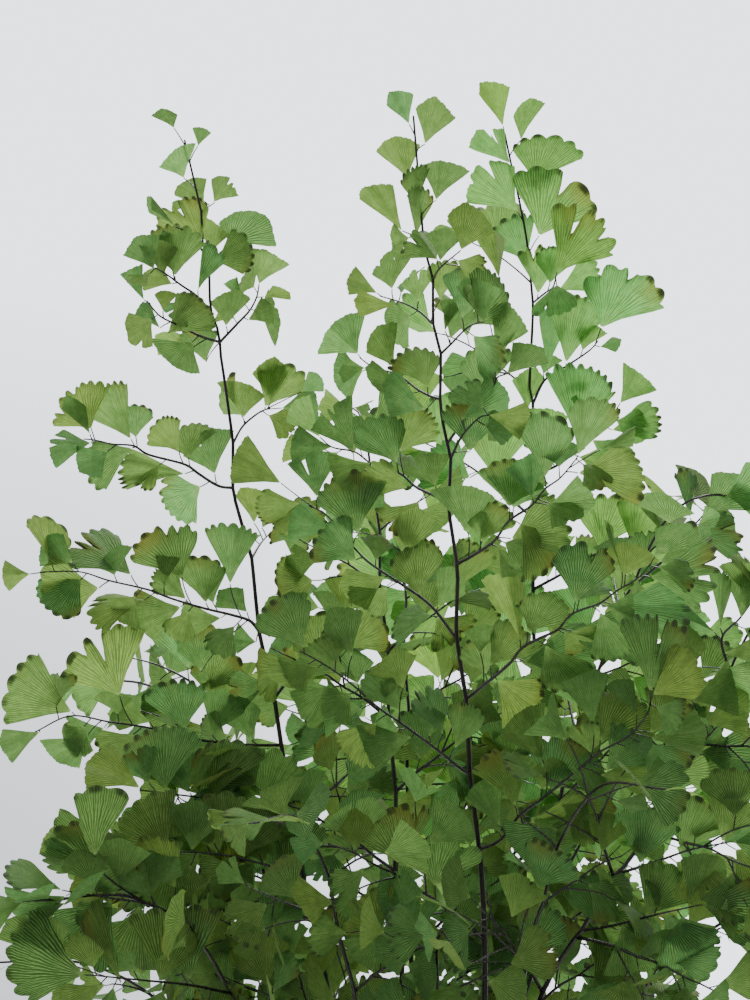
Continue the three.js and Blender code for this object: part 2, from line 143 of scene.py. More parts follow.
# Side stalks of an arching frond, counted from its tip
PINNA_ANGLE = math.radians(54)
PINNA_FALL = 0.12
PINNA_GROWTH = 0.42
FIRST_PINNA = 35
PINNA_STEP = 13
PINNA_STEP_GROWTH = 0.075
ARCHING_LEAF = (13, 15.5)
LONGEST_PINNA = 50
# Side branches of a side stalk: the least reach that has one, then its place and length as shares of the
# stalk, and the side that it leaves on
SIDE_BRANCHES = [(24, 0.24, 0.46, -1), (28, 0.4, 0.4, 1), (40, 0.58, 0.3, -1)]
BRANCH_ANGLE = math.atan2(0.66, 0.75)
BRANCH_LEAF = 0.92
BRANCH_BARE = 4
BARE_STEM = 50
ARC_LOW = (0.09, 0.4)
ARC_SHOULDER = (0.32, 0.8)
ARC_DROP = (0.72, 0.99)
SOLID_SEED = 7
FIRST_SEED = 100

# A stem is a list of points. A branch is (height on the stem, end x, end y, end z). The side stalks that
# the photograph shows clearly are in SEEN instead.
TALL_FRONDS = [
    {
        "stem": [
            (9, -6, FOOT_Z), (15, -16, 180), (18, -22, 255), (11, -22, 332), (8, -20, 385), (3, -18, 432),
            (-2, -16, 481),
        ],
        "leaf": (13.5, 16),
        "branches": [(254, -25, -60, 284)],
    },
    {
        "stem": [
            (-10, 3, FOOT_Z), (-20, 8, 205), (-33, 10, 275), (-45, 10, 337), (-52, 8, 380), (-57, 6, 420),
            (-66, 2, 476),
        ],
        "leaf": (9, 15.5),
        "branches": [(319, -16, 34, 342), (285, -6, 36, 304), (256, -91, -24, 276)],
    },
    {
        "stem": [
            (3, 12, FOOT_Z), (12, 32, 180), (22, 52, 240), (34, 68, 333), (34, 71, 405), (34, 70, 445),
            (26, 68, 484),
        ],
        "leaf": (16.5, 20),
        "branches": [
            (440, 17, 80, 452), (408, 8, 84, 425), (311, 78, 62, 332), (290, -14, 92, 308),
            (267, 80, 66, 286),
        ],
    },
    {
        "stem": [
            (14, -9, FOOT_Z), (22, -20, 190), (35, -25, 243), (61, -29, 284), (78, -29, 312), (90, -28, 338),
            (104, -26, 362),
        ],
        "leaf": (13.5, 16.5),
        "branches": [
            (309, 101, -48, 305), (297, 62, -14, 332), (285, 96, -50, 272), (272, 40, -44, 309),
            (256, 84, -52, 240), (240, 14, -52, 268),
        ],
    },
]

# The other fronds arch outward: (azimuth from +X in degrees, reach, top height, foot radius)
ARCHING_FRONDS = [
    (115, 54, 402, 7), (206, 116, 268, 18), (244, 100, 292, 17), (274, 94, 262, 18),
    (308, 102, 300, 18), (343, 124, 262, 19), (20, 112, 376, 17), (46, 118, 292, 19),
    (94, 96, 368, 17), (126, 116, 300, 19), (158, 112, 322, 17), (182, 124, 246, 20),
    (226, 92, 206, 22), (290, 86, 198, 21), (2, 94, 206, 23), (70, 90, 202, 21), (144, 92, 204, 23),
]


# The side stalks and leaflets that the photograph shows clearly, by frond. Each stalk is its end's depth in
# millimetres, its pixels from the stem out, and its leaflets. A leaflet is its root's pixel, its direction
# and half its spread in degrees, its length in pixels, and its kind if it has one: f fertile, c cleft, d
# doubled over.
SEEN = {1: [
    (-16, [], [
        (409, 124, 112, 26, 35), (425, 144, 72, 28, 48), (408, 179, 111, 30, 42, "d"),
        (436, 200, 80, 28, 38, "d"), (417, 206, 100, 22, 34, "f"), (416, 236, 88, 22, 44, "f"),
    ]),
    (-6, [(424, 247), (415, 237), (403, 231)], [
        (402, 231, 122, 18, 54),
    ]),
    (-34, [(433, 279), (440, 268), (460, 251)], [
        (440, 261, 80, 35, 33), (461, 250, 70, 35, 47), (499, 278, 84, 26, 48, "d"),
    ]),
    (-4, [(433, 323), (420, 312), (403, 303), (380, 296)], [
        (392, 289, 100, 38, 40, "c"), (419, 301, 98, 36, 34, "c"), (396, 305, 178, 18, 38),
        (377, 293, 152, 28, 32), (440, 300, 84, 26, 36, "f"),
    ]),
    (-40, [(441, 355), (451, 344), (467, 328), (480, 322)], [
        (450, 339, 72, 28, 40), (445, 331, 90, 16, 32, "d"), (473, 325, 45, 40, 46, "f"),
        (462, 318, 78, 34, 46, "f"), (484, 322, 96, 30, 46),
    ]),
    (-4, [(440, 406), (430, 396), (417, 389), (398, 375), (373, 367), (360, 358)], [
        (358, 354, 131, 38, 42, "d"), (394, 367, 120, 29, 39), (365, 368, 183, 30, 27),
        (406, 385, 171, 24, 38), (428, 387, 106, 40, 38, "f"), (426, 410, 160, 30, 48),
    ]),
    (-36, [(446, 440), (475, 405), (491, 393), (497, 378), (506, 374)], [
        (482, 396, 92, 36, 46, "f"), (507, 374, 45, 30, 44), (494, 354, 60, 28, 48),
    ]),
    (-40, [(451, 454), (462, 436), (479, 418), (489, 415)], [
        (461, 419, 22, 28, 54, "d"), (489, 415, 350, 26, 40), (470, 452, 88, 34, 46, "f"),
    ]),
    (-2, [(448, 508), (437, 497), (416, 487), (401, 474), (372, 464), (355, 452), (332, 447), (321, 438)], [
        (397, 463, 118, 34, 46, "f"), (400, 452, 60, 35, 45, "f"), (436, 486, 112, 40, 44, "c"),
        (408, 488, 160, 30, 42, "f"), (354, 452, 122, 26, 48, "c"), (320, 437, 128, 25, 40),
        (332, 447, 177, 25, 38), (371, 463, 200, 28, 40), (386, 474, 232, 30, 36),
    ]),
    (-44, [
        (458, 572), (472, 556), (494, 541), (509, 521), (532, 505), (545, 489), (560, 478), (577, 458),
    ], [
        (468, 532, 92, 35, 44), (480, 540, 62, 34, 38, "f"), (511, 539, 22, 32, 54, "f"),
        (498, 547, 300, 32, 34), (509, 507, 78, 42, 42, "f"), (545, 477, 87, 27, 56, "f"),
        (548, 505, 5, 34, 44), (578, 473, 4, 26, 56, "f"), (578, 455, 72, 24, 52, "f"),
        (600, 450, 28, 16, 40, "d"), (520, 524, 318, 34, 46, "f"), (532, 498, 100, 30, 42),
    ]),
    (-44, [
        (467, 704), (484, 685), (510, 663), (522, 648), (540, 638), (557, 630), (572, 614), (600, 603),
        (618, 590), (638, 578), (652, 562),
    ], [
        (480, 653, 88, 36, 32), (490, 666, 55, 30, 44, "f"), (525, 661, 8, 28, 62, "f"),
        (520, 640, 98, 20, 62, "d"), (528, 632, 60, 38, 40, "f"), (574, 632, 2, 24, 68, "f"),
        (575, 602, 76, 34, 52, "fc"), (613, 605, 357, 24, 66, "f"), (622, 572, 92, 14, 46, "fd"),
        (650, 577, 2, 28, 62, "fc"), (655, 557, 55, 32, 46), (545, 645, 300, 30, 46, "f"),
        (600, 612, 290, 30, 44, "f"), (497, 680, 320, 34, 46, "f"),
    ]),
    (-52, [
        (481, 866), (500, 840), (520, 815), (543, 798), (575, 772), (600, 752), (630, 735), (648, 712),
        (651, 698),
    ], [
        (543, 760, 118, 28, 46), (552, 792, 70, 40, 50, "f"), (593, 725, 100, 24, 54),
        (600, 740, 50, 34, 52, "f"), (650, 738, 5, 28, 52), (650, 733, 52, 34, 44, "f"),
        (650, 692, 84, 24, 66, "fc"), (653, 695, 38, 34, 48, "f"), (600, 775, 2, 24, 58),
        (606, 770, 46, 30, 42, "f"), (515, 806, 98, 34, 50, "f"), (530, 822, 5, 30, 54, "f"),
        (560, 800, 330, 32, 52, "f"), (500, 826, 116, 28, 46), (640, 742, 318, 30, 46, "f"),
    ]),
    (-6, [(456, 633), (430, 605), (395, 580), (366, 560), (345, 537), (325, 514), (300, 502)], [
        (358, 534, 103, 33, 56, "f"), (356, 560, 140, 35, 42, "f"), (406, 560, 95, 38, 48),
        (317, 497, 97, 30, 44, "c"), (333, 530, 167, 26, 42), (281, 483, 152, 26, 50),
        (300, 503, 190, 28, 40, "f"), (385, 577, 205, 32, 44), (420, 595, 100, 34, 44, "f"),
        (438, 607, 58, 30, 38),
    ]),
    (-48, [
        (470, 777), (457, 766), (440, 752), (408, 728), (375, 705), (354, 686), (325, 665), (300, 651),
    ], [
        (352, 656, 109, 29, 50), (403, 688, 113, 38, 46), (346, 672, 152, 30, 42, "f"),
        (362, 709, 180, 34, 46), (400, 710, 125, 32, 44, "f"), (443, 735, 112, 34, 46, "fc"),
        (412, 737, 190, 30, 48), (304, 648, 120, 32, 48, "f"), (318, 668, 200, 32, 48),
        (376, 722, 232, 32, 44, "f"), (455, 748, 66, 28, 40, "f"),
    ]),
], 2: [
    (-2, [], [
        (174, 128, 112, 33, 23), (198, 146, 76, 27, 17), (184, 178, 110, 40, 31),
    ]),
    (14, [(204, 212), (214, 203)], [
        (214, 202, 67, 46, 30, "c"),
    ]),
    (-8, [(203, 246), (190, 234), (176, 227)], [
        (202, 241, 121, 33, 45, "fc"), (175, 226, 122, 20, 36, "d"),
    ]),
    (18, [(209, 268), (215, 258), (229, 245)], [
        (212, 252, 85, 35, 36), (229, 245, 58, 50, 46), (215, 262, 20, 34, 36, "f"),
    ]),
    (-12, [(210, 310), (198, 297), (181, 285), (166, 274), (155, 268)], [
        (154, 269, 117, 33, 37), (175, 276, 87, 32, 46, "f"), (198, 290, 95, 36, 44, "fd"),
        (172, 284, 156, 32, 29), (163, 276, 96, 30, 34),
    ]),
    (-14, [(219, 345), (200, 336), (180, 326), (160, 316), (147, 301)], [
        (144, 300, 129, 28, 36, "d"), (163, 311, 82, 30, 19), (160, 328, 132, 22, 28),
        (168, 333, 40, 30, 42, "f"), (188, 352, 150, 32, 34), (206, 362, 105, 30, 34, "f"),
    ]),
    (20, [(221, 338), (238, 323), (250, 310), (257, 296), (259, 285)], [
        (259, 284, 72, 34, 38), (243, 303, 91, 32, 29, "d"), (264, 297, 23, 26, 24), (248, 320, 30, 33, 25),
        (226, 326, 84, 34, 36),
    ]),
    (18, [(233, 441), (243, 426), (260, 412), (270, 408)], [
        (243, 418, 84, 36, 35), (265, 407, 62, 33, 45, "f"), (301, 392, 35, 34, 25), (282, 408, 10, 30, 36),
        (272, 400, 92, 30, 40),
    ]),
    (-16, [
        (233, 493), (219, 486), (199, 474), (186, 465), (147, 454), (134, 446), (112, 444), (94, 440),
        (84, 439),
    ], [
        (215, 474, 109, 36, 41, "c"), (179, 451, 125, 38, 34, "f"), (185, 474, 172, 17, 58, "f"),
        (131, 439, 124, 24, 52, "f"), (132, 448, 202, 28, 46, "f"), (90, 434, 116, 18, 41),
        (91, 443, 180, 32, 37, "c"),
    ]),
    (24, [(253, 560), (261, 543), (273, 530)], [
        (254, 523, 92, 28, 38), (262, 528, 62, 27, 31, "f"), (276, 528, 20, 30, 44, "f"),
    ]),
    (-18, [
        (259, 632), (250, 621), (232, 615), (203, 608), (170, 598), (149, 590), (107, 580), (81, 572),
        (40, 572),
    ], [
        (73, 563, 146, 33, 35), (99, 588, 185, 36, 50, "f"), (131, 575, 138, 32, 62, "fc"),
        (145, 600, 180, 35, 52, "fc"), (182, 577, 115, 38, 50, "fc"), (186, 599, 140, 28, 38, "f"),
        (206, 603, 95, 32, 42, "f"), (230, 584, 87, 23, 54, "f"), (247, 612, 134, 30, 36),
        (181, 607, 195, 30, 42, "f"), (221, 618, 185, 26, 42), (201, 672, 97, 34, 42, "f"),
        (298, 639, 118, 33, 48), (256, 642, 172, 34, 25), (30, 574, 188, 30, 26, "d"),
    ]),
    (-16, [(283, 757), (250, 745), (200, 740), (150, 728), (110, 722), (70, 716), (35, 732)], [
        (120, 696, 116, 38, 60, "fc"), (72, 712, 155, 28, 62, "f"), (150, 722, 165, 28, 42),
        (88, 735, 222, 30, 42), (40, 732, 200, 25, 42), (104, 728, 195, 28, 34, "f"),
        (185, 730, 100, 34, 46, "f"), (170, 742, 205, 30, 46), (212, 735, 70, 30, 44),
        (222, 748, 190, 32, 48, "f"), (252, 740, 110, 32, 44),
    ]),
    (-22, [(297, 828), (260, 808), (220, 800), (180, 795), (140, 790)], [
        (285, 818, 100, 34, 50), (262, 806, 66, 34, 52, "f"), (238, 801, 112, 34, 50),
        (214, 797, 82, 34, 52, "f"), (190, 793, 122, 34, 50), (165, 790, 96, 34, 54, "f"),
        (140, 788, 146, 34, 50), (272, 816, 244, 34, 52, "f"), (246, 808, 214, 34, 50),
        (220, 804, 256, 34, 52, "f"), (194, 800, 222, 34, 50), (168, 796, 238, 34, 52, "f"),
    ]),
    (-34, [(304, 886), (270, 866), (230, 856), (190, 852), (150, 856)], [
        (290, 878, 92, 34, 50, "f"), (266, 864, 118, 34, 52), (242, 858, 70, 34, 50, "f"),
        (218, 854, 104, 34, 52, "f"), (192, 851, 84, 34, 50), (168, 853, 126, 34, 52, "f"),
        (282, 874, 262, 34, 50), (254, 862, 230, 34, 52, "f"), (226, 857, 268, 34, 50, "f"),
        (200, 853, 216, 34, 52), (174, 855, 246, 34, 50, "f"), (150, 856, 186, 34, 52, "f"),
    ]),
], 3: [
    (66, [], [
        (503, 126, 106, 22, 46), (521, 140, 86, 22, 38), (510, 163, 132, 30, 46, "c"),
        (517, 211, 132, 34, 58, "c"), (534, 183, 73, 38, 46, "f"), (539, 236, 68, 38, 60, "fc"),
        (528, 262, 120, 30, 44, "f"), (527, 410, 90, 28, 46),
    ]),
    (56, [(533, 306), (545, 293), (553, 287), (556, 276)], [
        (557, 272, 55, 32, 61, "fc"), (558, 291, 28, 22, 40, "f"), (538, 294, 86, 26, 43, "fc"),
    ]),
    (54, [(533, 400), (545, 380), (565, 367), (590, 350), (598, 341)], [
        (601, 328, 66, 38, 58, "fc"), (600, 347, 15, 32, 22), (566, 363, 80, 24, 60, "f"),
        (548, 370, 92, 20, 52, "f"),
    ]),
    (52, [(533, 480), (556, 466), (575, 452), (600, 425), (618, 408)], [
        (576, 438, 84, 28, 64, "f"), (612, 430, 12, 26, 44, "f"), (620, 403, 50, 32, 36),
        (592, 440, 330, 30, 46, "f"), (552, 462, 104, 30, 54),
    ]),
    (58, [(533, 595), (560, 575), (585, 560), (600, 553), (640, 560)], [
        (600, 550, 78, 36, 50, "f"), (575, 575, 52, 30, 42, "f"), (548, 578, 98, 34, 42),
        (625, 570, 330, 32, 50), (640, 558, 20, 34, 50, "f"), (632, 552, 70, 30, 46, "f"),
    ]),
    (90, [(533, 517), (505, 495), (475, 470), (440, 450), (417, 440)], [
        (495, 481, 88, 30, 60, "f"), (520, 505, 110, 30, 46), (470, 478, 150, 34, 44, "f"),
        (445, 452, 100, 34, 50, "f"), (420, 440, 140, 34, 50, "f"), (462, 470, 200, 32, 44),
        (500, 500, 215, 34, 50), (435, 452, 200, 30, 44, "f"), (410, 436, 90, 30, 46),
    ]),
    (94, [(534, 648), (505, 630), (470, 610), (430, 595), (390, 580)], [
        (505, 628, 95, 34, 56, "f"), (480, 612, 110, 36, 60, "f"), (455, 600, 90, 36, 56),
        (430, 592, 120, 34, 52, "f"), (405, 583, 95, 32, 50), (392, 578, 160, 34, 50, "f"),
        (485, 620, 220, 34, 50, "f"), (450, 604, 215, 34, 50), (415, 592, 210, 34, 50, "f"),
        (520, 640, 60, 34, 50, "f"), (512, 638, 240, 34, 50, "f"),
    ]),
    (86, [(515, 810), (480, 792), (440, 784), (395, 790), (350, 790)], [
        (500, 803, 100, 34, 56, "f"), (476, 790, 70, 34, 56), (452, 786, 112, 34, 58, "f"),
        (428, 785, 84, 34, 56, "f"), (404, 789, 122, 34, 56), (380, 790, 96, 34, 56, "f"),
        (352, 790, 170, 34, 56), (488, 796, 250, 34, 56, "f"), (462, 788, 222, 34, 58),
        (436, 786, 262, 34, 56, "f"), (408, 790, 228, 34, 56, "f"), (382, 791, 250, 34, 56),
    ]),
    (80, [(508, 850), (540, 824), (585, 806), (630, 800), (665, 806)], [
        (522, 838, 96, 34, 56, "f"), (546, 822, 64, 34, 56), (570, 812, 108, 34, 58, "f"),
        (596, 804, 78, 34, 56, "f"), (622, 801, 118, 34, 56), (648, 803, 60, 34, 56, "f"),
        (666, 806, 350, 34, 56), (534, 828, 300, 34, 56, "f"), (560, 816, 276, 34, 58),
        (588, 806, 304, 34, 56, "f"), (614, 802, 268, 34, 56, "f"), (640, 802, 296, 34, 56),
    ]),
], 4: [
    (-34, [(664, 795), (683, 768), (700, 745), (720, 724)], [
        (692, 700, 12, 30, 48), (705, 724, 24, 34, 58), (700, 752, 355, 30, 62, "f"),
        (668, 775, 18, 34, 62, "f"), (690, 752, 60, 32, 44, "f"),
    ]),
    (-30, [(715, 660), (722, 638), (740, 618), (760, 590)], [
        (692, 668, 90, 34, 44), (720, 628, 78, 17, 52, "fd"), (741, 618, 82, 26, 50), (724, 653, 4, 22, 44),
        (712, 672, 340, 32, 52, "f"),
    ]),
    (-40, [(620, 872), (655, 862), (690, 850), (730, 842)], [
        (640, 864, 84, 34, 54, "f"), (662, 862, 284, 34, 56), (680, 852, 62, 32, 54, "f"),
        (700, 848, 304, 32, 58, "f"), (722, 842, 74, 34, 54), (734, 842, 352, 34, 60, "f"),
    ]),
    (-46, [(578, 938), (615, 925), (655, 915), (700, 905)], [
        (600, 929, 96, 34, 54, "f"), (622, 924, 288, 34, 58), (645, 917, 58, 32, 56, "f"),
        (665, 913, 300, 32, 58, "f"), (690, 906, 68, 34, 60), (703, 905, 350, 34, 62, "f"),
    ]),
], 6: [
    (-44, [(150, 905), (120, 887), (96, 866), (86, 848)], [
        (96, 856, 104, 36, 60, "fc"), (100, 872, 152, 34, 56, "f"), (118, 884, 84, 34, 50),
    ]),
    (-50, [(210, 930), (160, 908), (110, 898), (70, 892)], [
        (62, 890, 160, 30, 54, "f"), (66, 896, 206, 30, 56), (112, 900, 232, 34, 62, "f"),
        (140, 905, 262, 34, 60, "f"), (176, 888, 122, 34, 56, "f"), (150, 892, 64, 32, 48),
    ]),
    (-58, [(236, 1000), (190, 985), (140, 980), (90, 975)], [
        (122, 985, 104, 16, 78, "fd"), (84, 975, 168, 36, 70, "f"), (100, 985, 214, 34, 60),
        (160, 982, 70, 36, 62, "f"), (60, 960, 120, 36, 56), (190, 980, 110, 36, 62, "f"),
    ]),
], 11: [
    (34, [(645, 590), (668, 556), (690, 530), (705, 513)], [
        (706, 512, 42, 34, 64), (690, 518, 92, 26, 50, "f"), (690, 533, 354, 30, 54, "fc"),
        (668, 540, 106, 18, 48, "fd"), (660, 562, 20, 30, 50, "f"),
    ]),
], 15: [
    (24, [(240, 740), (200, 692), (165, 668), (120, 655)], [
        (188, 668, 95, 36, 50, "f"), (210, 690, 60, 34, 48, "f"), (230, 712, 100, 34, 50),
        (195, 700, 215, 34, 52, "f"), (160, 680, 250, 34, 48), (232, 735, 200, 34, 50, "f"),
    ]),
]}
# How much larger than its pixels a leaflet is made, which stands for its neighbours that are left out
SEEN_LARGER = {1: 1.13, 2: 1.15, 3: 1.24, 6: 1.1}
ELSE_LARGER = 1.05
# How far a seen leaflet is rooted behind its node in millimetres, how far it points to the back and tilts,
# and by what shares of its gap from the rib its node is set back and its stalk bows
SEEN_ROOT_DEPTH = (-1.5, 1.0)
SEEN_POINTS_BACK = (-0.2, 0.16)
SEEN_TILT = 0.34
NODE_BACK = 0.6
PETIOLE_BOW = 0.15
SEEN_PETIOLE_FOOT = 1.25
SEEN_FACE = (0, -1, 0.1)
SEEN_THINNEST = 0.55
# Small leaflets behind the seen ones, along their stalks
SMALL_STEP = 8
SMALL_STEP_FACTOR = (0.8, 1.2)
SMALL_SIZE = (8.5, 13)
SMALL_LEAN_FACTOR = (0.8, 1.4)
SMALL_POINTS_BACK = 0.3
# How much wider than its pixels a leaflet is made, by its kind, for folds and lobes narrow it
WIDER = {"d": 1.4, "f": 1.28, "": 1.18}
# A seen side stalk with so many pixels stays in sight
LONG_STALK = 8


def lcg(state):
    """The solids' seeded random numbers from 0 to 1."""
    while True:
        state = (state * 1664525 + 1013904223) & 0xFFFFFFFF
        yield state / 4294967296


# Vectors
def unit(v):
    v = np.asarray(v, float)
    return v / np.maximum(np.linalg.norm(v, axis=-1, keepdims=True), 1e-12)


def turn_about(v, axis, angle):
    """v turned about a unit axis, by an angle in radians."""
    v, axis = np.asarray(v, float), np.asarray(axis, float)
    angle = np.asarray(angle, float)[..., None]
    dot = (v * axis).sum(-1, keepdims=True)
    return v * np.cos(angle) + np.cross(axis, v) * np.sin(angle) + axis * dot * (1 - np.cos(angle))


class Path:
    """A smooth line through 3-D points, read by its distance from the start."""

    def __init__(self, points):
        self.points = np.asarray(points, float)
        steps = np.linalg.norm(np.diff(self.points, axis=0), axis=1)
        self.reached = np.concatenate([[0], np.cumsum(steps)])
        self.length = self.reached[-1]

    def inside(self, distance):
        return np.stack([np.interp(distance, self.reached, self.points[:, k]) for k in range(3)], -1)

    def at(self, distance):
        """The point at a distance, which past an end lies straight on."""
        inner = np.clip(distance, 0, self.length)
        return self.inside(inner) + self.along(inner) * np.asarray(distance - inner)[..., None]

    def along(self, distance):
        """The direction at a distance, read over a short stretch of the line."""
        reach = 0.004 * self.length
        low = np.clip(np.asarray(distance) - reach, 0, self.length - 2 * reach)
        return unit(self.inside(low + 2 * reach) - self.inside(low))

    def at_height(self, height):
        return float(np.interp(height, self.points[:, 2], self.reached))


def catmull_rom(points, per_span=80):
    """A centripetal curve through the points, as the solids' stems have."""
    points = np.asarray(points, float)
    padded = np.vstack([2 * points[0] - points[1], points, 2 * points[-1] - points[-2]])
    spans = []
    for i in range(len(points) - 1):
        p0, p1, p2, p3 = padded[i : i + 4]
        d0, d1, d2 = (math.sqrt(np.linalg.norm(b - a)) for a, b in ((p0, p1), (p1, p2), (p2, p3)))
        m1 = ((p1 - p0) / d0 - (p2 - p0) / (d0 + d1) + (p2 - p1) / d1) * d1
        m2 = ((p2 - p1) / d1 - (p3 - p1) / (d1 + d2) + (p3 - p2) / d2) * d1
        t = np.linspace(0, 1, per_span, endpoint=i == len(points) - 2)[:, None]
        spans.append(
            p1 + m1 * t + (3 * (p2 - p1) - 2 * m1 - m2) * t**2 + (2 * (p1 - p2) + m1 + m2) * t**3
        )
    return Path(np.vstack(spans))


def bezier(start, middle, end, count):
    t = np.linspace(0, 1, count)[:, None]
    return Path((1 - t) ** 2 * start + 2 * t * (1 - t) * middle + t**2 * end)


def arched(start, end):
    """A rib that rises a little between its ends."""
    rise = ARCH * np.linalg.norm(end - start)
    return bezier(start, (start + end) / 2 + np.array([0, 0, rise]), end, 24)


def zigzag(path, across, marks, count):
    """The path shifted sideways at (distance, shift) marks, and straight between them."""
    marks = [(0.0, 0.0)] + sorted(marks) + [(path.length, 0.0)]
    distances = np.linspace(0, path.length, count)
    shifts = np.interp(distances, *zip(*marks))
    return Path(path.at(distances) + across * shifts[:, None])


def leaning(along, across, angle):
    return along * math.cos(angle) + across * math.sin(angle)


# Meshes
class Surface:
    """The quads of one piece, gathered before its mesh is made."""

    def __init__(self):
        self.points, self.quads, self.uv, self.tone = [], [], [], []
        self.count = 0

    def add(self, points, quads, uv=None, tone=None):
        points = np.asarray(points, float).reshape(-1, 3)
        self.points.append(points)
        self.quads.append(np.asarray(quads).reshape(-1, 4) + self.count)
        self.uv.append(np.zeros((len(points), 2)) if uv is None else uv.reshape(-1, 2))
        self.tone.append(np.zeros((len(points), 4)) if tone is None else tone.reshape(-1, 4))
        self.count += len(points)

    def piece(self, name, material):
        quads = np.vstack(self.quads)
        mesh = bpy.data.meshes.new(name)
        mesh.from_pydata((np.vstack(self.points) * METRES).tolist(), [], quads.tolist())
        mesh.shade_smooth()
        layer = mesh.uv_layers.new(name="UVMap")
        layer.data.foreach_set("uv", np.vstack(self.uv)[quads.ravel()].ravel())
        tone = mesh.color_attributes.new("tone", "FLOAT_COLOR", "POINT")
        tone.data.foreach_set("color", np.vstack(self.tone).ravel())
        mesh.validate()
        mesh.materials.append(material)
        piece = bpy.data.objects.new(name, mesh)
        bpy.context.scene.collection.objects.link(piece)
        return piece


def grid_quads(rows, columns, closed):
    """The quads of a grid of points. Its columns close on themselves in a tube."""
    span = columns if closed else columns - 1
    r, c = np.meshgrid(np.arange(rows - 1), np.arange(span), indexing="ij")
    a = (r * columns + c).ravel()
    b = (r * columns + (c + 1) % columns).ravel()
    return np.stack([a, b, b + columns, a + columns], 1)


TUBE_TIP = 0.05
TUBE_TIP_LENGTH = 0.5


def add_tube(surface, points, radii, sides):
    """A round tube along the points, its tips drawn in nearly to a point."""
    points = np.asarray(points, float)
    radii = np.asarray(radii, float)
    along = unit(np.gradient(points, axis=0))
    points = np.vstack([points[0], points, points[-1] + along[-1] * radii[-1] * TUBE_TIP_LENGTH])
    along = np.vstack([along[0], along, along[-1]])
    radii = np.concatenate([[radii[0] * TUBE_TIP], radii, [radii[-1] * TUBE_TIP]])
    # A direction well away from the tube's own, to turn the rings from
    helper = np.array([0.31, 0.2, 0.93]) if abs(along[0, 2]) < 0.8 else np.array([0.96, 0.2, 0.2])
    side = unit(np.cross(along, helper))
    other = np.cross(along, side)
    angle = np.linspace(0, 2 * np.pi, sides, endpoint=False)
    ring = side[:, None] * np.cos(angle)[None, :, None] + other[:, None] * np.sin(angle)[None, :, None]
    surface.add(points[:, None] + ring * radii[:, None, None], grid_quads(len(points), sides, True))


def turned(profile, sides):
    """A Surface turned about the Z axis from (radius, height) points, its ends closed at the axis."""
    profile = np.asarray(profile, float)
    angle = np.linspace(0, 2 * np.pi, sides, endpoint=False)
    x = profile[:, :1] * np.cos(angle)
    y = profile[:, :1] * np.sin(angle)
    z = np.repeat(profile[:, 1:], sides, 1)
    surface = Surface()
    surface.add(np.stack([x, y, z], -1), grid_quads(len(profile), sides, True))
    return surface


def rounded(profile, radius):
    """The profile with each inner corner cut back by up to the radius and rounded in four steps."""
    profile = np.asarray(profile, float)
    out = [profile[0]]
    for before, corner, after in zip(profile, profile[1:], profile[2:]):
        lengths = np.linalg.norm(before - corner), np.linalg.norm(after - corner)
        cut = min(radius, 0.45 * min(lengths))
        start = corner + (before - corner) / lengths[0] * cut
        end = corner + (after - corner) / lengths[1] * cut
        out.extend(bezier(start, corner, end, 5).points)
    out.append(profile[-1])
    return np.array(out)


# Materials
class Nodes:
    """Short calls that build one material's node tree."""

    def __init__(self, name):
        self.material = bpy.data.materials.new(name)
        self.material.use_nodes = True
        self.tree = self.material.node_tree
        self.tree.nodes.clear()

    def node(self, kind, **settings):
        node = self.tree.nodes.new("ShaderNode" + kind)
        inputs = settings.pop("inputs", {})
        for key, value in settings.items():
            setattr(node, key, value)
        for key, value in inputs.items():
            self.feed(node.inputs[key], value)
        return node

    def feed(self, socket, value):
        if isinstance(value, bpy.types.NodeSocket):
            self.tree.links.new(value, socket)
        else:
            socket.default_value = value

    def math(self, operation, a, b=0.0):
        return self.node("Math", operation=operation, inputs={0: a, 1: b}).outputs[0]

    def times(self, a, b):
        return self.math("MULTIPLY", a, b)

    def steps(self, value, low, high, to_low=0.0, to_high=1.0):
        node = self.node(
            "MapRange", interpolation_type="SMOOTHSTEP",
            inputs={"Value": value, "From Min": low, "From Max": high, "To Min": to_low, "To Max": to_high},
        )
        return node.outputs["Result"]

    def mix(self, share, a, b, blend="MIX"):
        return self.node("Mix", data_type="RGBA", blend_type=blend, inputs={0: share, 6: a, 7: b}).outputs[2]

    def noise(self, where, scale, detail=3.0, roughness=0.55):
        inputs = {"Vector": where, "Scale": scale, "Detail": detail, "Roughness": roughness}
        return self.node("TexNoise", inputs=inputs).outputs["Fac"]

    def spot(self):
        return self.node("TexCoord").outputs["Object"]

    def bump(self, height, strength, depth):
        inputs = {"Strength": strength, "Distance": depth, "Height": height}
        return self.node("Bump", inputs=inputs).outputs[0]

    def skin(self, tint, rough, bump, specular=0.5):
        inputs = {"Base Color": tint, "Roughness": rough, "Normal": bump, "Specular IOR Level": specular}
        return self.node("BsdfPrincipled", inputs=inputs).outputs[0]

    def surface(self, shader):
        output = self.node("OutputMaterial")
        self.tree.links.new(shader, output.inputs["Surface"])
        return self.material


def colour(red, green, blue):
    """A linear colour from its numbers out of 255 as a screen shows them."""
    parts = [c / 255 for c in (red, green, blue)]
    return tuple(c / 12.92 if c <= 0.04045 else ((c + 0.055) / 1.055) ** 2.4 for c in parts) + (1.0,)


# Tints laid over a leaf's greens
PATCH_GREEN = colour(62, 92, 44)
FLECK_GREEN = colour(46, 78, 30)
STREAK_GREEN = colour(36, 68, 30)
VEIN_GREEN = colour(152, 182, 112)
DRY_BROWN = colour(106, 98, 38)
SORUS_BROWN = colour(36, 46, 24)
VEIN_CELLS = 10.0
# How much of each green shines through a leaf
GLOW = (1.75, 1.75, 1.5, 1.0)
THROUGH = 0.56


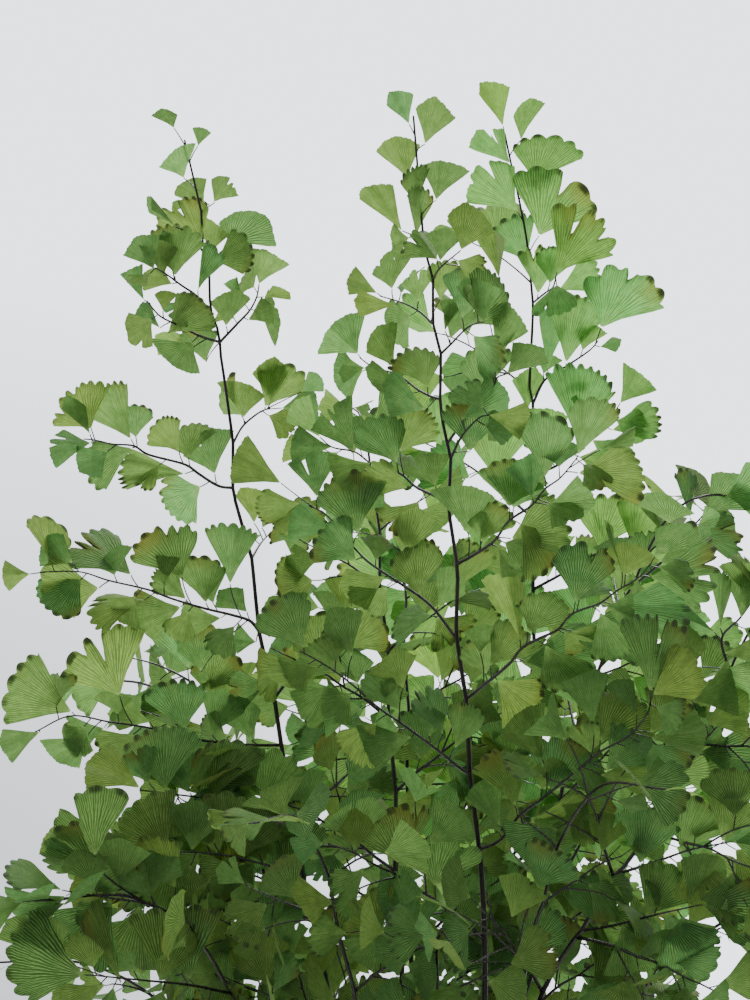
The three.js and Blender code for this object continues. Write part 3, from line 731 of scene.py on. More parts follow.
def leaf_material(name, tint):
    """Thin leaf with forking veins and, on fertile leaflets, a dark sorus in each lobe. UV runs across and
    out from the root. tone holds how pale, how warm, how dry and how ripe a place is; its paleness also
    carries the painted shade of low leaflets."""
    n = Nodes(name)
    uv = n.node("SeparateXYZ", inputs={0: n.node("UVMap", uv_map="UVMap").outputs[0]}).outputs
    tone = n.node("Attribute", attribute_name="tone").outputs
    light, hue, dry = n.node("SeparateColor", inputs={0: tone["Color"]}).outputs
    ripe = tone["Alpha"]
    across, out = uv[0], uv[1]

    # Veins fork twice on their way out
    spot = n.spot()
    patch = n.noise(spot, 160.0)
    grain = n.noise(spot, 900.0, 2.0)
    distance = n.math("FRACT", n.times(n.math("ADD", across, n.times(patch, 0.06)), VEIN_CELLS))
    for apart in (0.5, n.steps(out, 0.1, 0.45, 0.0, 0.25), n.steps(out, 0.4, 0.85, 0.0, 0.125)):
        distance = n.math("ABSOLUTE", n.math("SUBTRACT", distance, apart))
    vein = n.steps(n.times(distance, out), 0.004, 0.04, 1.0, 0.0)

    deep = n.mix(hue, tint[0], tint[1])
    fresh = n.mix(hue, tint[2], tint[3])
    # light is a leaflet's own paleness with the painted shade of low leaflets in it
    green = n.mix(light, deep, fresh)
    green = n.mix(n.times(patch, 0.3), green, PATCH_GREEN)
    fleck = n.noise(spot, 420.0, 4.0, 0.65)
    green = n.mix(n.steps(fleck, 0.36, 0.66, 0.0, 0.3), green, FLECK_GREEN)
    # Streaks run out along the veins. A leaflet's own hue gives it its own streaks.
    fan = [n.times(value, rate) for value, rate in ((across, 34.0), (out, 2.2), (hue, 90.0))]
    streak = n.noise(n.node("CombineXYZ", inputs=dict(enumerate(fan))).outputs[0], 1.0, 2.0)
    green = n.mix(n.steps(streak, 0.38, 0.62, 0.0, 0.42), green, STREAK_GREEN)
    fine = n.times(vein, n.steps(grain, 0.3, 0.7, 0.34, 0.66))
    green = n.mix(fine, green, VEIN_GREEN)
    band = n.times(n.steps(out, 0.84, 0.96), n.steps(streak, 0.3, 0.5, 0.6, 1.0))
    sorus = n.steps(n.times(ripe, band), 0.2, 0.8)
    green = n.mix(n.times(n.steps(dry, 0.05, 0.5), 0.55), green, DRY_BROWN)
    green = n.mix(n.times(sorus, 0.8), green, SORUS_BROWN)
    glow = n.mix(1.0, green, GLOW, "MULTIPLY")

    bump = n.bump(n.math("ADD", n.times(vein, 0.7), n.times(fleck, 0.6)), 0.45, 0.0003)
    skin = n.skin(green, n.steps(grain, 0.2, 0.8, 0.48, 0.66), bump, 0.14)
    through = n.node("BsdfTranslucent", inputs={"Color": glow, "Normal": bump}).outputs[0]
    share = n.math("SUBTRACT", THROUGH, n.times(sorus, 0.4))
    return n.surface(n.node("MixShader", inputs={0: share, 1: skin, 2: through}).outputs[0])


def stem_material():
    """Wiry, glossy and nearly black, with a little brown."""
    n = Nodes("stem")
    streak = n.noise(n.node("Mapping", inputs={0: n.spot(), "Scale": (1, 1, 0.12)}).outputs[0], 900.0)
    tint = n.mix(n.steps(streak, 0.35, 0.75), colour(15, 10, 12), colour(38, 24, 23))
    rough = n.steps(streak, 0.2, 0.8, 0.2, 0.36)
    return n.surface(n.skin(tint, rough, n.bump(streak, 0.25, 0.0001)))


def ceramic_material():
    """Off-white satin glaze with a faint speckle, thinner and warmer along the edges."""
    n = Nodes("glaze")
    spot = n.spot()
    cloud = n.noise(spot, 14.0, 4.0)
    fine = n.noise(spot, 420.0, 2.0)
    speck = n.node("TexVoronoi", inputs={"Vector": spot, "Scale": 300.0}).outputs["Distance"]
    tint = n.mix(n.steps(cloud, 0.3, 0.7), colour(212, 207, 197), colour(226, 223, 215))
    spotted = n.times(n.steps(speck, 0.1, 0.22, 1.0, 0.0), n.steps(fine, 0.55, 0.62))
    tint = n.mix(n.times(spotted, 0.6), tint, colour(120, 104, 84))
    edge = n.steps(n.node("NewGeometry").outputs["Pointiness"], 0.53, 0.62)
    tint = n.mix(n.times(edge, 0.4), tint, colour(176, 158, 134))
    rough = n.steps(cloud, 0.3, 0.7, 0.26, 0.38)
    return n.surface(n.skin(tint, rough, n.bump(cloud, 0.12, 0.0006)))


def crumb_material(name, dark, pale, scale, rough_low, rough_high):
    """Rough broken matter, such as soil, bark or scales."""
    n = Nodes(name)
    spot = n.spot()
    coarse = n.noise(spot, scale, 6.0, 0.65)
    fine = n.noise(spot, scale * 5, 3.0, 0.6)
    tint = n.mix(n.steps(coarse, 0.35, 0.68), dark, pale)
    tint = n.mix(n.times(fine, 0.5), tint, dark)
    rough = n.steps(fine, 0.2, 0.8, rough_low, rough_high)
    height = n.math("ADD", coarse, n.times(fine, 0.5))
    return n.surface(n.skin(tint, rough, n.bump(height, 0.7, 0.0012)))


# The four greens of a leaf, dark and pale, each cool and warm: for most fronds, and for the back frond
# paler ones, which are painted light, as if lit from behind
GREENS = colour(36, 82, 50), colour(82, 100, 30), colour(86, 146, 90), colour(138, 158, 66)
BACKLIT_PAINTED_GREENS = colour(60, 124, 66), colour(96, 136, 48), colour(86, 156, 86), colour(130, 168, 66)
BACK_FROND = 3

# Leaflets
ROWS = np.array([0.03, 0.34, 0.6, 0.8, 0.92, 1.0])
TALL_COLUMNS = 41
ARCHING_COLUMNS = 31
FERTILE_SHARE = 0.42
FOLDED_SHARE = 0.14
CLEFT_SHARE = 0.4
LOBES = (4.6, 8.4)
LOBE_DEPTH = (0.06, 0.125)
TOOTH_DEPTH = 0.016
TEETH = (22, 30), (9, 13)
DEEP_CLEFT = (0.18, 0.48)
SHALLOW_CLEFT = (0.1, 0.3)
CLEFT_WIDTH = (0.045, 0.075)
CLEFT_AT = 0.55
FLATNESS = (0, 0.95)
ROUNDNESS = (0.02, 0.2)
SKEW = 0.16
PEAK = 0.32
PEAK_AT = 0.6
SIDE_CURVE = 0.24
# Angles in degrees: half the spread, the swing about the root, where it folds and how far, and the bow of
# a leaflet that isn't doubled over
HALF_SPREAD = (37, 56)
SWING = 12
FOLD_AT = 16
FOLD = (55, 105)
BOW = (-22, 26)
# Shares of the length by which a leaflet cups, waves and curls its fertile rim
CUP = (-0.2, 0.1)
WAVE = (0.01, 0.05)
RIM_CURL = 0.05
WAVE_PACE = (3, 7)
# How pale and how warm the leaflets are, as the two powers of a beta draw
PALENESS = (2.2, 2.2)
WARMTH = (1.6, 2.6)
# How wide a blotch is, as a share of the half leaflet, and how dry and how ripe the rim is there
BLOTCH = (0.3, 0.8)
DRYNESS = (0, 0.55)
RIPENESS = (0.6, 1.2)
# Painted shade: the leaflets low down are painted darker, all of them at the first height, none above the
# second
SHADE_BELOW = (240, 315)
SHADED_LIGHT = 0.5


class Leaflets:
    """The leaflets of one frond: where each is rooted, which way it points and faces, and its length."""

    def __init__(self):
        self.rows = []

    def add(self, root, along, face, size, kind=None, half=None):
        self.rows.append((root, along, face, size, kind, half))

    def build(self, surface, columns, random):
        count = len(self.rows)
        root = np.array([r[0] for r in self.rows])
        along = unit([r[1] for r in self.rows])
        face = np.array([r[2] for r in self.rows], float)
        face = unit(face - along * (face * along).sum(-1, keepdims=True))
        size = np.array([r[3] for r in self.rows])[:, None, None]
        cross = np.cross(face, along)

        def draw(low, high):
            return random.uniform(low, high, (count, 1, 1))

        def phase():
            return draw(0, 6)

        def chance(share, letter):
            drawn = random.random(count) < share
            known = [r[4] for r in self.rows]
            told = [drawn[i] if k is None else letter in k for i, k in enumerate(known)]
            return np.array(told, float)[:, None, None]

        t = np.linspace(-1, 1, columns)[None, None, :]
        r = ROWS[None, :, None]
        known = np.array([r[5] is not None for r in self.rows])[:, None, None]
        told = np.array([r[5] or 0.0 for r in self.rows])[:, None, None]
        half = np.radians(np.where(known, told, draw(*HALF_SPREAD)))
        spread = t * half * (1 - SIDE_CURVE * (1 - np.minimum(r / 0.7, 1)))
        angle = np.radians(np.where(known, 0, draw(-SWING, SWING))) + spread

        # Rim: flat or arched, higher to one side, with a blunt peak or lobes, fine teeth and clefts
        fertile = chance(FERTILE_SHARE, "f")
        straight = np.cos(half * 0.9) / np.cos(t * half * 0.9)
        flat = (1 - fertile) * draw(*FLATNESS)
        rim = 1 + flat * (straight - 1) - fertile * draw(*ROUNDNESS) * t**4 + draw(-SKEW, SKEW) * t
        rim = rim - (1 - fertile) * draw(0, PEAK) * np.abs(t - draw(-PEAK_AT, PEAK_AT))
        lobes = np.round(draw(*LOBES))
        warped = t + 0.1 * np.sin(3 * t + phase())
        lobe = np.abs(np.sin(np.pi * lobes * (warped + 1) / 2 + draw(-0.3, 0.3)))
        rim = rim - fertile * draw(*LOBE_DEPTH) * (1 - lobe**0.7)
        teeth = np.sin(t * draw(*TEETH[0]) + phase()) * np.sin(t * draw(*TEETH[1]))
        rim = rim + (1 - fertile) * TOOTH_DEPTH * teeth
        for share, depth in ((CLEFT_SHARE, draw(*DEEP_CLEFT)), (CLEFT_SHARE / 2, draw(*SHALLOW_CLEFT))):
            cleft = chance(share, "c") * depth
            width = draw(*CLEFT_WIDTH)
            rim = rim * (1 - cleft * np.exp(-(((t - draw(-CLEFT_AT, CLEFT_AT)) / width) ** 2)))
        reach = r * rim

        # Fold about a vein, cup and wave
        fold_at = np.radians(draw(-FOLD_AT, FOLD_AT))
        folded = chance(FOLDED_SHARE, "d")
        folding = np.radians(np.where(folded > 0, draw(*FOLD), draw(*BOW)))
        sign = np.sign(draw(-1, 1))
        p = size * reach * np.cos(angle - fold_at)
        q = size * reach * np.sin(angle - fold_at)
        bent = np.maximum(sign * q, 0)
        q = q - sign * bent * (1 - np.cos(folding))
        lift = -bent * np.sin(folding)
        a = p * np.cos(fold_at) - q * np.sin(fold_at)
        b = p * np.sin(fold_at) + q * np.cos(fold_at)
        lift = lift + size * draw(*CUP) * reach**2
        wave = np.sin(t * draw(*WAVE_PACE) + phase())
        lift = lift + size * draw(*WAVE) * wave * reach**2
        lift = lift - size * fertile * RIM_CURL * np.clip((r - 0.9) / 0.1, 0, 1)
        places = root[:, None, None] + (
            a[..., None] * along[:, None, None]
            + b[..., None] * cross[:, None, None]
            + lift[..., None] * face[:, None, None]
        )

        grid = grid_quads(len(ROWS), columns, False)
        per = len(ROWS) * columns
        quads = grid[None] + (np.arange(count) * per)[:, None, None]
        full = np.broadcast_to(t * 0.5 + 0.5, reach.shape)
        uv = np.stack([full, np.broadcast_to(r, reach.shape)], -1)
        # Painted shade: a leaflet's paleness is cut down the lower its root is
        low_shade = np.interp(root[:, 2], SHADE_BELOW, (SHADED_LIGHT, 1))[:, None, None]
        light = np.broadcast_to(low_shade * random.beta(*PALENESS, (count, 1, 1)), reach.shape)
        hue = np.broadcast_to(random.beta(*WARMTH, (count, 1, 1)), reach.shape)
        blotch = np.exp(-(((t - draw(-1, 1)) / draw(*BLOTCH)) ** 2))
        dry = (0.2 + 0.8 * fertile) * draw(*DRYNESS) * blotch * np.clip((r - 0.5) / 0.45, 0, 1)
        ripe = np.minimum(fertile * draw(*RIPENESS) * (0.55 + 0.45 * blotch) * lobe**1.4, 1)
        tone = np.stack([light, hue, dry, np.broadcast_to(ripe, dry.shape)], -1)
        surface.add(places, quads, uv, tone)


# Stems and side stalks in front, which other leaflets leave in sight, and the points of the front stem.
# A leaflet's middle and what it covers are shares of its length.
IN_SIGHT = []
FRONT_STEM = slice(25, 80)
NEARLY_AT = 2
LEAFLET_MIDDLE = 0.55
LEAFLET_COVER = 0.5


def hides(middle, reach):
    """Whether a leaflet at a point would hide a line that the photograph shows in front of the leaves."""
    for line in IN_SIGHT:
        ahead = (line[:, 1] - EYE[1]) / (middle[1] - EYE[1])
        across = EYE[0] + (middle[0] - EYE[0]) * ahead - line[:, 0]
        rise = EYE[2] + (middle[2] - EYE[2]) * ahead - line[:, 2]
        if ((np.hypot(across, rise) < reach) & (middle[1] < line[:, 1] + NEARLY_AT)).any():
            return True
    return False


def add_petiole(stems, path, thicker):
    """A leaflet's stalk along a path, thicker at its foot."""
    radii = np.linspace(PETIOLE_RADIUS * thicker, PETIOLE_RADIUS, len(path.points))
    add_tube(stems, path.points, radii, PETIOLE_SIDES)


def add_leaflet(stems, leaves, node, along, face, size, random):
    """One leaflet on its hair-thin stalk, from a node of a rib."""
    length = PETIOLE * size * random.uniform(*PETIOLE_FACTOR)
    root = node + along * length + face * random.uniform(*ROOT_OFF)
    if hides(root + along * size * LEAFLET_MIDDLE, size * LEAFLET_COVER):
        return
    middle = (node + root) / 2 - np.array([0, 0, PETIOLE_SAG * length])
    add_petiole(stems, bezier(node, middle, root + along * PETIOLE_INTO_LEAFLET, 4), PETIOLE_FOOT)
    face = turn_about(face, along, random.normal(0, FACE_TILT))
    tilt = random.normal(0, LEAF_TILT)
    side = np.cross(face, along)
    leaves.add(root, turn_about(along, side, tilt), turn_about(face, side, tilt), size)


def add_spray(stems, leaves, rib, face, size, random, first_side, radii, start=0.0):
    """A rib with its leaflets: one at its tip, and the others by turns on its two sides."""
    across = unit(np.cross(face, rib.along(rib.length / 2)))
    places = [rib.length * LAST_LEAFLET]
    while places[-1] - LATERAL_STEP * size > max(FIRST_LEAFLET * size, start):
        places.append(places[-1] - LATERAL_STEP * size * random.uniform(*STEP_FACTOR))
    sides = [0] + [first_side * (-1) ** i for i in range(len(places) - 1)]
    marks = [(d, s * RIB_ZIGZAG) for d, s in zip(places[1:], sides[1:])]
    line = zigzag(rib, across, marks, RIB_POINTS)
    add_tube(stems, line.points, np.linspace(*radii, RIB_POINTS), STALK_SIDES)
    for distance, side in zip(places, sides):
        node = line.at(min(distance, line.length))
        along = line.along(distance)
        factor = random.uniform(*LEAN_FACTOR) if side else random.uniform(-TIP_LEAN, TIP_LEAN)
        lean = side * LEAN * factor if side else factor
        towards = unit(leaning(along, across, lean))
        own = size * random.uniform(*SIZE_FACTOR)
        add_leaflet(stems, leaves, node, towards, unit(face), own, random)


def seen_at(across, down, depth):
    """The point that a pixel of the photograph shows, at a depth."""
    scale = PIXEL * (1 - depth / EYE[1])
    right, up = across - PHOTO_WIDTH / 2, PHOTO_HEIGHT / 2 - down
    return np.array([EYE[0] + right * scale, depth, EYE[2] + up * scale])


def nearest_on(line, place):
    """The distance along a line to its point nearest the place, as the photograph sees them, and the gap."""
    gaps = np.hypot(line.points[:, 0] - place[0], line.points[:, 2] - place[2])
    nearest = int(gaps.argmin())
    return line.reached[nearest], gaps[nearest]


def bend_at(path, pixel, across):
    """The distance along a stem of a node that the photograph shows, and how far the stem bends to it."""
    distance, _ = nearest_on(path, seen_at(*pixel, path.at(path.length / 2)[1]))
    place = seen_at(*pixel, path.at(distance)[1])
    distance, _ = nearest_on(path, place)
    return distance, float(np.clip(np.dot(place - path.at(distance), across), -BEND, BEND))


def add_seen(stems, leaves, line, shown, larger, random):
    """A side stalk and its leaflets where the photograph shows them. Without pixels they are on the stem."""
    depth, pixels, leaflets = shown
    rib = line
    if pixels:
        start = line.at(nearest_on(line, seen_at(*pixels[0], depth))[0])
        depths = np.linspace(start[1], depth, len(pixels))
        rib = catmull_rom([start] + [seen_at(x, y, d) for (x, y), d in zip(pixels[1:], depths[1:])], 12)
        thick = STALK_RADIUS * min(1, SEEN_THINNEST + rib.length / FULL_STALK)
        radii = np.linspace(thick, STALK_TIP_RADIUS, len(rib.points))
        add_tube(stems, rib.points, radii, STALK_SIDES)
        if len(pixels) >= LONG_STALK:
            IN_SIGHT.append(rib.points[: len(rib.points) * 3 // 4 : 3])
    for across, down, turn, half, length, *kinds in leaflets:
        kind = "".join(kinds)
        distance, gap = nearest_on(rib, seen_at(across, down, depth))
        back = max(distance - NODE_BACK * gap, 0)
        node = rib.at(back)
        root = seen_at(across, down, node[1] + random.uniform(*SEEN_ROOT_DEPTH))
        middle = (node + root) / 2 + rib.along(back) * PETIOLE_BOW * gap
        add_petiole(stems, bezier(node, middle, root, 6), SEEN_PETIOLE_FOOT)
        angle = math.radians(turn)
        along = unit([math.cos(angle), random.uniform(*SEEN_POINTS_BACK), math.sin(angle)])
        face = turn_about(unit(SEEN_FACE), along, random.normal(0, SEEN_TILT))
        letter = "d" if "d" in kind else "f" if "f" in kind else ""
        leaves.add(root, along, face, length * larger * PIXEL, kind, half * WIDER[letter])
    if pixels:
        add_small(stems, leaves, rib, random)


def add_small(stems, leaves, rib, random):
    """Small leaflets behind the clearly seen ones, by turns on the two sides of their stalk."""
    face = unit(TALL_FACE)
    across = unit(np.cross(face, rib.along(rib.length / 2)))
    side = 1
    distance = SMALL_STEP
    while distance < rib.length:
        lean = side * LEAN * random.uniform(*SMALL_LEAN_FACTOR)
        towards = leaning(rib.along(distance), across, lean) - face * SMALL_POINTS_BACK
        size = random.uniform(*SMALL_SIZE)
        add_leaflet(stems, leaves, rib.at(distance), unit(towards), face, size, random)
        side = -side
        distance += SMALL_STEP * random.uniform(*SMALL_STEP_FACTOR)


def grow(plan, random, columns):
    """One frond as two pieces: its stems, and its leaflets."""
    path, face, (tip_leaf, low_leaf), stalks = plan["path"], plan["face"], plan["leaf"], plan["stalks"]
    stems, leaves = Surface(), Leaflets()
    length = path.length
    across = unit(np.cross(face, path.along(length * ACROSS_AT)))
    sides = [1 if np.dot(end - path.at(d), across) > 0 else -1 for d, end in stalks]
    marks = [(d, s * ZIGZAG) for (d, _), s in zip(stalks, sides)]
    marks += [bend_at(path, pixels[0], across) for _, pixels, _ in plan["seen"] if pixels]
    line = zigzag(path, across, marks, STEM_POINTS)
    radii = FOOT_RADIUS + (TIP_RADIUS - FOOT_RADIUS) * np.linspace(0, 1, STEM_POINTS) ** TAPER
    add_tube(stems, line.points, radii, STEM_SIDES)
    if not IN_SIGHT:
        IN_SIGHT.append(line.points[FRONT_STEM])
    for shown in plan["seen"]:
        add_seen(stems, leaves, line, shown, plan["larger"], random)

    # The tip: single leaflets by turns, growing smaller
    places = [] if any(not pixels for _, pixels, _ in plan["seen"]) else [length]
    lowest = max([d for d, _ in stalks] + [length - APEX_LENGTH])
    while places and places[-1] - APEX_LEAST > lowest + 2:
        places.append(places[-1] - random.uniform(*APEX_STEP))
    side = -sides[0]
    for i, distance in enumerate(places):
        lean = APEX_TIP_LEAN if i == 0 else side * LEAN * random.uniform(*APEX_LEAN_FACTOR)
        side = -side if i else side
        along = line.along(distance)
        towards = unit(leaning(along, across, lean))
        own = tip_leaf * APEX_SIZES[min(i, 3)] * random.uniform(*APEX_SIZE_FACTOR)
        add_leaflet(stems, leaves, line.at(distance), towards, face, own, random)

    for (distance, end), side in zip(stalks, sides):
        start = line.at(distance)
        reach = np.linalg.norm(end - start)
        rib = arched(start, end)
        stem_here = FOOT_RADIUS + (TIP_RADIUS - FOOT_RADIUS) * distance / length
        thick = min(STALK_RADIUS * (THINNEST_STALK + reach / FULL_STALK), STALK_TO_STEM * stem_here)
        size = low_leaf + (tip_leaf - low_leaf) * distance / length
        own_face = unit(face + random.normal(0, FACE_SPREAD, 3))
        first_side = random.choice([-1, 1])
        add_spray(stems, leaves, rib, own_face, size, random, first_side, (thick, STALK_TIP_RADIUS))
        for least, place, share, turn in SIDE_BRANCHES:
            if reach > least:
                add_side_branch(stems, leaves, rib, own_face, size, random, place, share, turn)
    return stems, leaves


def add_side_branch(stems, leaves, rib, face, size, random, place, share, turn):
    """A short rib that leaves a long one near its foot, on the lower side (-1) or the upper (1)."""
    distance = rib.length * place
    along = rib.along(distance)
    across = unit(np.cross(face, along))
    if across[2] * turn < 0:
        across = -across
    reach = rib.length * share
    start = rib.at(distance)
    end = start + reach * unit(leaning(along, across, BRANCH_ANGLE))
    radii = BRANCH_RADIUS, STALK_TIP_RADIUS
    own = size * BRANCH_LEAF
    add_spray(stems, leaves, arched(start, end), face, own, random, 1, radii, BRANCH_BARE)


def tall_plan(row):
    path = catmull_rom(row["stem"])
    stalks = [(path.at_height(height), np.array(end, float)) for height, *end in row["branches"]]
    return {"path": path, "face": unit(TALL_FACE), "leaf": row["leaf"], "stalks": stalks}


def arching_plan(row, draws):
    azimuth, reach, top, foot = row
    angle = math.radians(azimuth)
    out = np.array([math.cos(angle), math.sin(angle), 0])
    across = np.array([-out[1], out[0], 0])
    rise = top - FOOT_Z

    def at(start, shares):
        return out * (start + shares[0] * reach) + np.array([0, 0, FOOT_Z + shares[1] * rise])

    rising = [at(foot, shares) for shares in ((0, 0), ARC_LOW, ARC_SHOULDER)]
    path = catmull_rom(rising + [at(0, ARC_DROP), at(0, (1, 1))])
    stalks = []
    side = 1 if next(draws) < 0.5 else -1
    from_tip = FIRST_PINNA
    while path.length - from_tip > BARE_STEM:
        distance = path.length - from_tip
        stretch = min(PINNA_GROWTH * from_tip, LONGEST_PINNA)
        along = path.along(distance)
        end = path.at(distance) + stretch * leaning(along, side * across, PINNA_ANGLE)
        end[2] -= PINNA_FALL * stretch
        stalks.append((distance, end))
        side = -side
        from_tip += PINNA_STEP + PINNA_STEP_GROWTH * from_tip
    to_viewer = -1 if out[1] < TO_BACK_FROM else 1
    face = unit(out * FACE_OUT + [0, FACE_TURN * to_viewer, 1])
    return {"path": path, "face": face, "leaf": ARCHING_LEAF, "stalks": stalks}


draws = lcg(SOLID_SEED)
plans = [tall_plan(row) for row in TALL_FRONDS]
plans += [arching_plan(row, draws) for row in ARCHING_FRONDS]
STEM = stem_material()
for number, plan in enumerate(plans, 1):
    node = f"frond_{number:02d}"
    plan["seen"] = SEEN.get(number, [])
    plan["larger"] = SEEN_LARGER.get(number, ELSE_LARGER)
    random = np.random.default_rng(FIRST_SEED + number)
    columns = TALL_COLUMNS if number <= len(TALL_FRONDS) else ARCHING_COLUMNS
    stems, leaflets = grow(plan, random, columns)
    blades = Surface()
    leaflets.build(blades, columns, random)
    # The back frond gets paler greens: painted light, as if lit from behind
    greens = BACKLIT_PAINTED_GREENS if number == BACK_FROND else GREENS
    green = leaf_material(f"leaf_{number:02d}", greens)
    for piece in (stems.piece(f"{node}_stems", STEM), blades.piece(f"{node}_leaves", green)):
        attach(piece, "root")
        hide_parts(node)


# Pot
def wall_radius(z):
    """The outer radius of the pot's sloping wall at a height."""
    return POT_BASE + (POT_RIM - LIP_OUT - POT_BASE) * z / POT_HEIGHT


lip_foot = POT_HEIGHT - LIP_HEIGHT
pot_profile = [
    (NEAR_AXIS, 0), (wall_radius(0) - POT_CHAMFER, 0), (wall_radius(POT_CHAMFER), POT_CHAMFER),
    (wall_radius(lip_foot), lip_foot), (POT_RIM, lip_foot + LIP_OUT), (POT_RIM, POT_HEIGHT - POT_EDGE),
    (POT_RIM - POT_EDGE, POT_HEIGHT), (wall_radius(POT_HEIGHT) - POT_WALL, POT_HEIGHT),
    (wall_radius(POT_FLOOR) - POT_WALL, POT_FLOOR), (NEAR_AXIS, POT_FLOOR),
]
pot = turned(rounded(pot_profile, POT_ROUNDING), POT_SIDES).piece("pot_glazed", ceramic_material())
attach(pot, "root")
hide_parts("pot")


# Soil: an uneven bed with loose crumbs, bark and pale grains
def lumpy(x, y):
    """A smooth uneven height, from nine waves that cross at odd angles."""
    waves = np.random.default_rng(SOIL_SEED)
    total = np.zeros_like(x)
    for i in range(9):
        angle, phase = waves.uniform(0, 2 * np.pi, 2)
        rate = SOIL_WAVE * 1.5**i
        total += np.sin((x * math.cos(angle) + y * math.sin(angle)) * rate + phase) / 1.3**i
    return total / 4


def soil_height(x, y):
    share = np.hypot(x, y) / wall_radius(SOIL_TOP)
    return SOIL_TOP + SOIL_DOME * (1 - share**2) + SOIL_BUMP * lumpy(x, y)


def soil_bed():
    """The soil's uneven top, whose outer ring dips out of sight along the pot."""
    surface = Surface()
    radius = np.linspace(NEAR_AXIS, wall_radius(SOIL_TOP) - POT_WALL - SOIL_PLAY, SOIL_RINGS)
    angle = np.linspace(0, 2 * np.pi, SOIL_SIDES, endpoint=False)
    x = radius[:, None] * np.cos(angle)
    y = radius[:, None] * np.sin(angle)
    z = soil_height(x, y)
    z[-1] -= SOIL_DIP
    surface.add(np.stack([x, y, z], -1), grid_quads(len(radius), len(angle), True))
    return surface


def add_crumb(surface, centre, size, random):
    """A broken lump of seven-sided rings, squashed and turned at random."""
    rings, sides = 5, 7
    polar = np.linspace(0.02, np.pi - 0.02, rings)[:, None]
    angle = np.linspace(0, 2 * np.pi, sides, endpoint=False)[None]
    points = np.stack([
        np.sin(polar) * np.cos(angle), np.sin(polar) * np.sin(angle), np.cos(polar) + 0 * angle
    ], -1)
    points = points * random.uniform(0.72, 1.2, (rings, sides, 1)) * size
    axis = np.broadcast_to(unit(random.normal(0, 1, 3)), points.shape)
    points = turn_about(points, axis, np.full(points.shape[:2], random.uniform(0, 6)))
    surface.add(points + centre, grid_quads(rings, sides, True))


def crumbs(count, sizes, squash, seed, lift):
    random = np.random.default_rng(seed)
    surface = Surface()
    for _ in range(count):
        radius = (wall_radius(SOIL_TOP) - POT_WALL - 3) * math.sqrt(random.random())
        angle = random.uniform(0, 2 * np.pi)
        x, y = radius * math.cos(angle), radius * math.sin(angle)
        size = random.uniform(*sizes) * np.array([1, random.uniform(*squash), random.uniform(*squash)])
        z = soil_height(np.array(x), np.array(y)) + size.min() * lift
        add_crumb(surface, np.array([x, y, z]), size, random)
    return surface


earth = crumb_material("earth", colour(26, 19, 14), colour(66, 50, 38), 260.0, 0.82, 0.98)
bark = crumb_material("bark", colour(48, 30, 20), colour(104, 72, 48), 320.0, 0.7, 0.95)
grains = crumb_material("grain", colour(190, 186, 176), colour(226, 223, 214), 500.0, 0.7, 0.9)
for name, surface, material in (
    ("soil_bed", soil_bed(), earth),
    ("soil_crumbs", crumbs(*CRUMBS), earth),
    ("soil_bark", crumbs(*BARK), bark),
    ("soil_grains", crumbs(*GRAINS), grains),
):
    piece = surface.piece(name, material)
    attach(piece, "root")
    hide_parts("soil")


# Rhizome: a knobbly body under overlapping brown scales
def rhizome_point(polar, angle):
    x = np.sin(polar) * np.cos(angle)
    y = np.sin(polar) * np.sin(angle)
    z = np.cos(polar)
    lump = 1 + 0.05 * np.sin(x * 7 + 1) * np.cos(y * 6) + 0.03 * np.sin(11 * x + 13 * y)
    size = np.array(RHIZOME_SIZE)
    place = np.stack([x * size[0] * lump, y * size[1] * lump, z * size[2] * lump], -1)
    return place + [0, 0, SOIL_TOP + SOIL_DOME]


def rhizome_surface():
    polar = np.linspace(NEAR_AXIS, RHIZOME_END, RHIZOME_RINGS)[:, None]
    angle = np.linspace(0, 2 * np.pi, RHIZOME_SIDES, endpoint=False)[None]
    surface = Surface()
    surface.add(rhizome_point(polar, angle + 0 * polar), grid_quads(RHIZOME_RINGS, RHIZOME_SIDES, True))
    return surface


def rhizome_scales(count):
    """Pointed scales that lie over the rhizome, their tips a little raised."""
    random = np.random.default_rng(SCALE_SEED)
    surface = Surface()
    s = np.array([0, 0.35, 0.7, 1.0])[:, None]
    w = np.array([-1, 0, 1.0])[None]
    for _ in range(count):
        polar = np.array(math.acos(random.uniform(0.02, 1)))
        angle = np.array(random.uniform(0, 2 * np.pi))
        root = rhizome_point(polar, angle)
        up = unit(root - [0, 0, SOIL_TOP - 8])
        along = unit(np.cross(up, random.normal(0, 1, 3)) + 0.35 * up)
        across = np.cross(up, along)
        length = random.uniform(*SCALE_LENGTH)
        width = SCALE_WIDTH * (1 - s**1.6) * w
        lift = 0.15 * s * length - 0.25 * np.abs(w)
        points = root + s[..., None] * along * length + width[..., None] * across + lift[..., None] * up
        surface.add(points, grid_quads(4, 3, False))
    return surface


scales = crumb_material("scales", colour(44, 26, 17), colour(120, 76, 44), 600.0, 0.5, 0.75)
for name, surface in (("rhizome_body", rhizome_surface()), ("rhizome_scales", rhizome_scales(SCALES))):
    piece = surface.piece(name, scales)
    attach(piece, "root")
    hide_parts("rhizome")


# Floor, light and camera. The backdrop darkens towards the lower left of the photograph's view.
BACKDROP = (-0.13, 1, -0.14), (0.98, 2.75), (1.0, 1.1)
SKY = (0, 0.78, 0.62), (-0.94, 0.066), (0.83, 1.43)
PAPER = (0.94, 0.975, 1.04, 1)
FLOOR_TINT = (0.78, 0.78, 0.77, 1)
FLOOR_ROUGH = 0.85
FLOOR_BELOW = 0.05
FLOOR_FLAT = 100
FLOOR_REACH = 1600
FLOOR_RINGS = 24
FLOOR_SIDES = 96
# How far from the middle the floor starts to fade and is gone, in metres
FLOOR_FADES = (0.75, 1.55)
# A light's name, place, target, width in metres, power in watts and tint
LIGHTS = [
    ("back", (0.35, 1.1, 1.5), (0, 0, 0.35), 1.3, 48, (1.0, 0.99, 0.96)),
    ("front", (-1.1, -1.2, 1.3), (0, 0, 0.3), 1.2, 6, (0.97, 0.98, 1.0)),
]


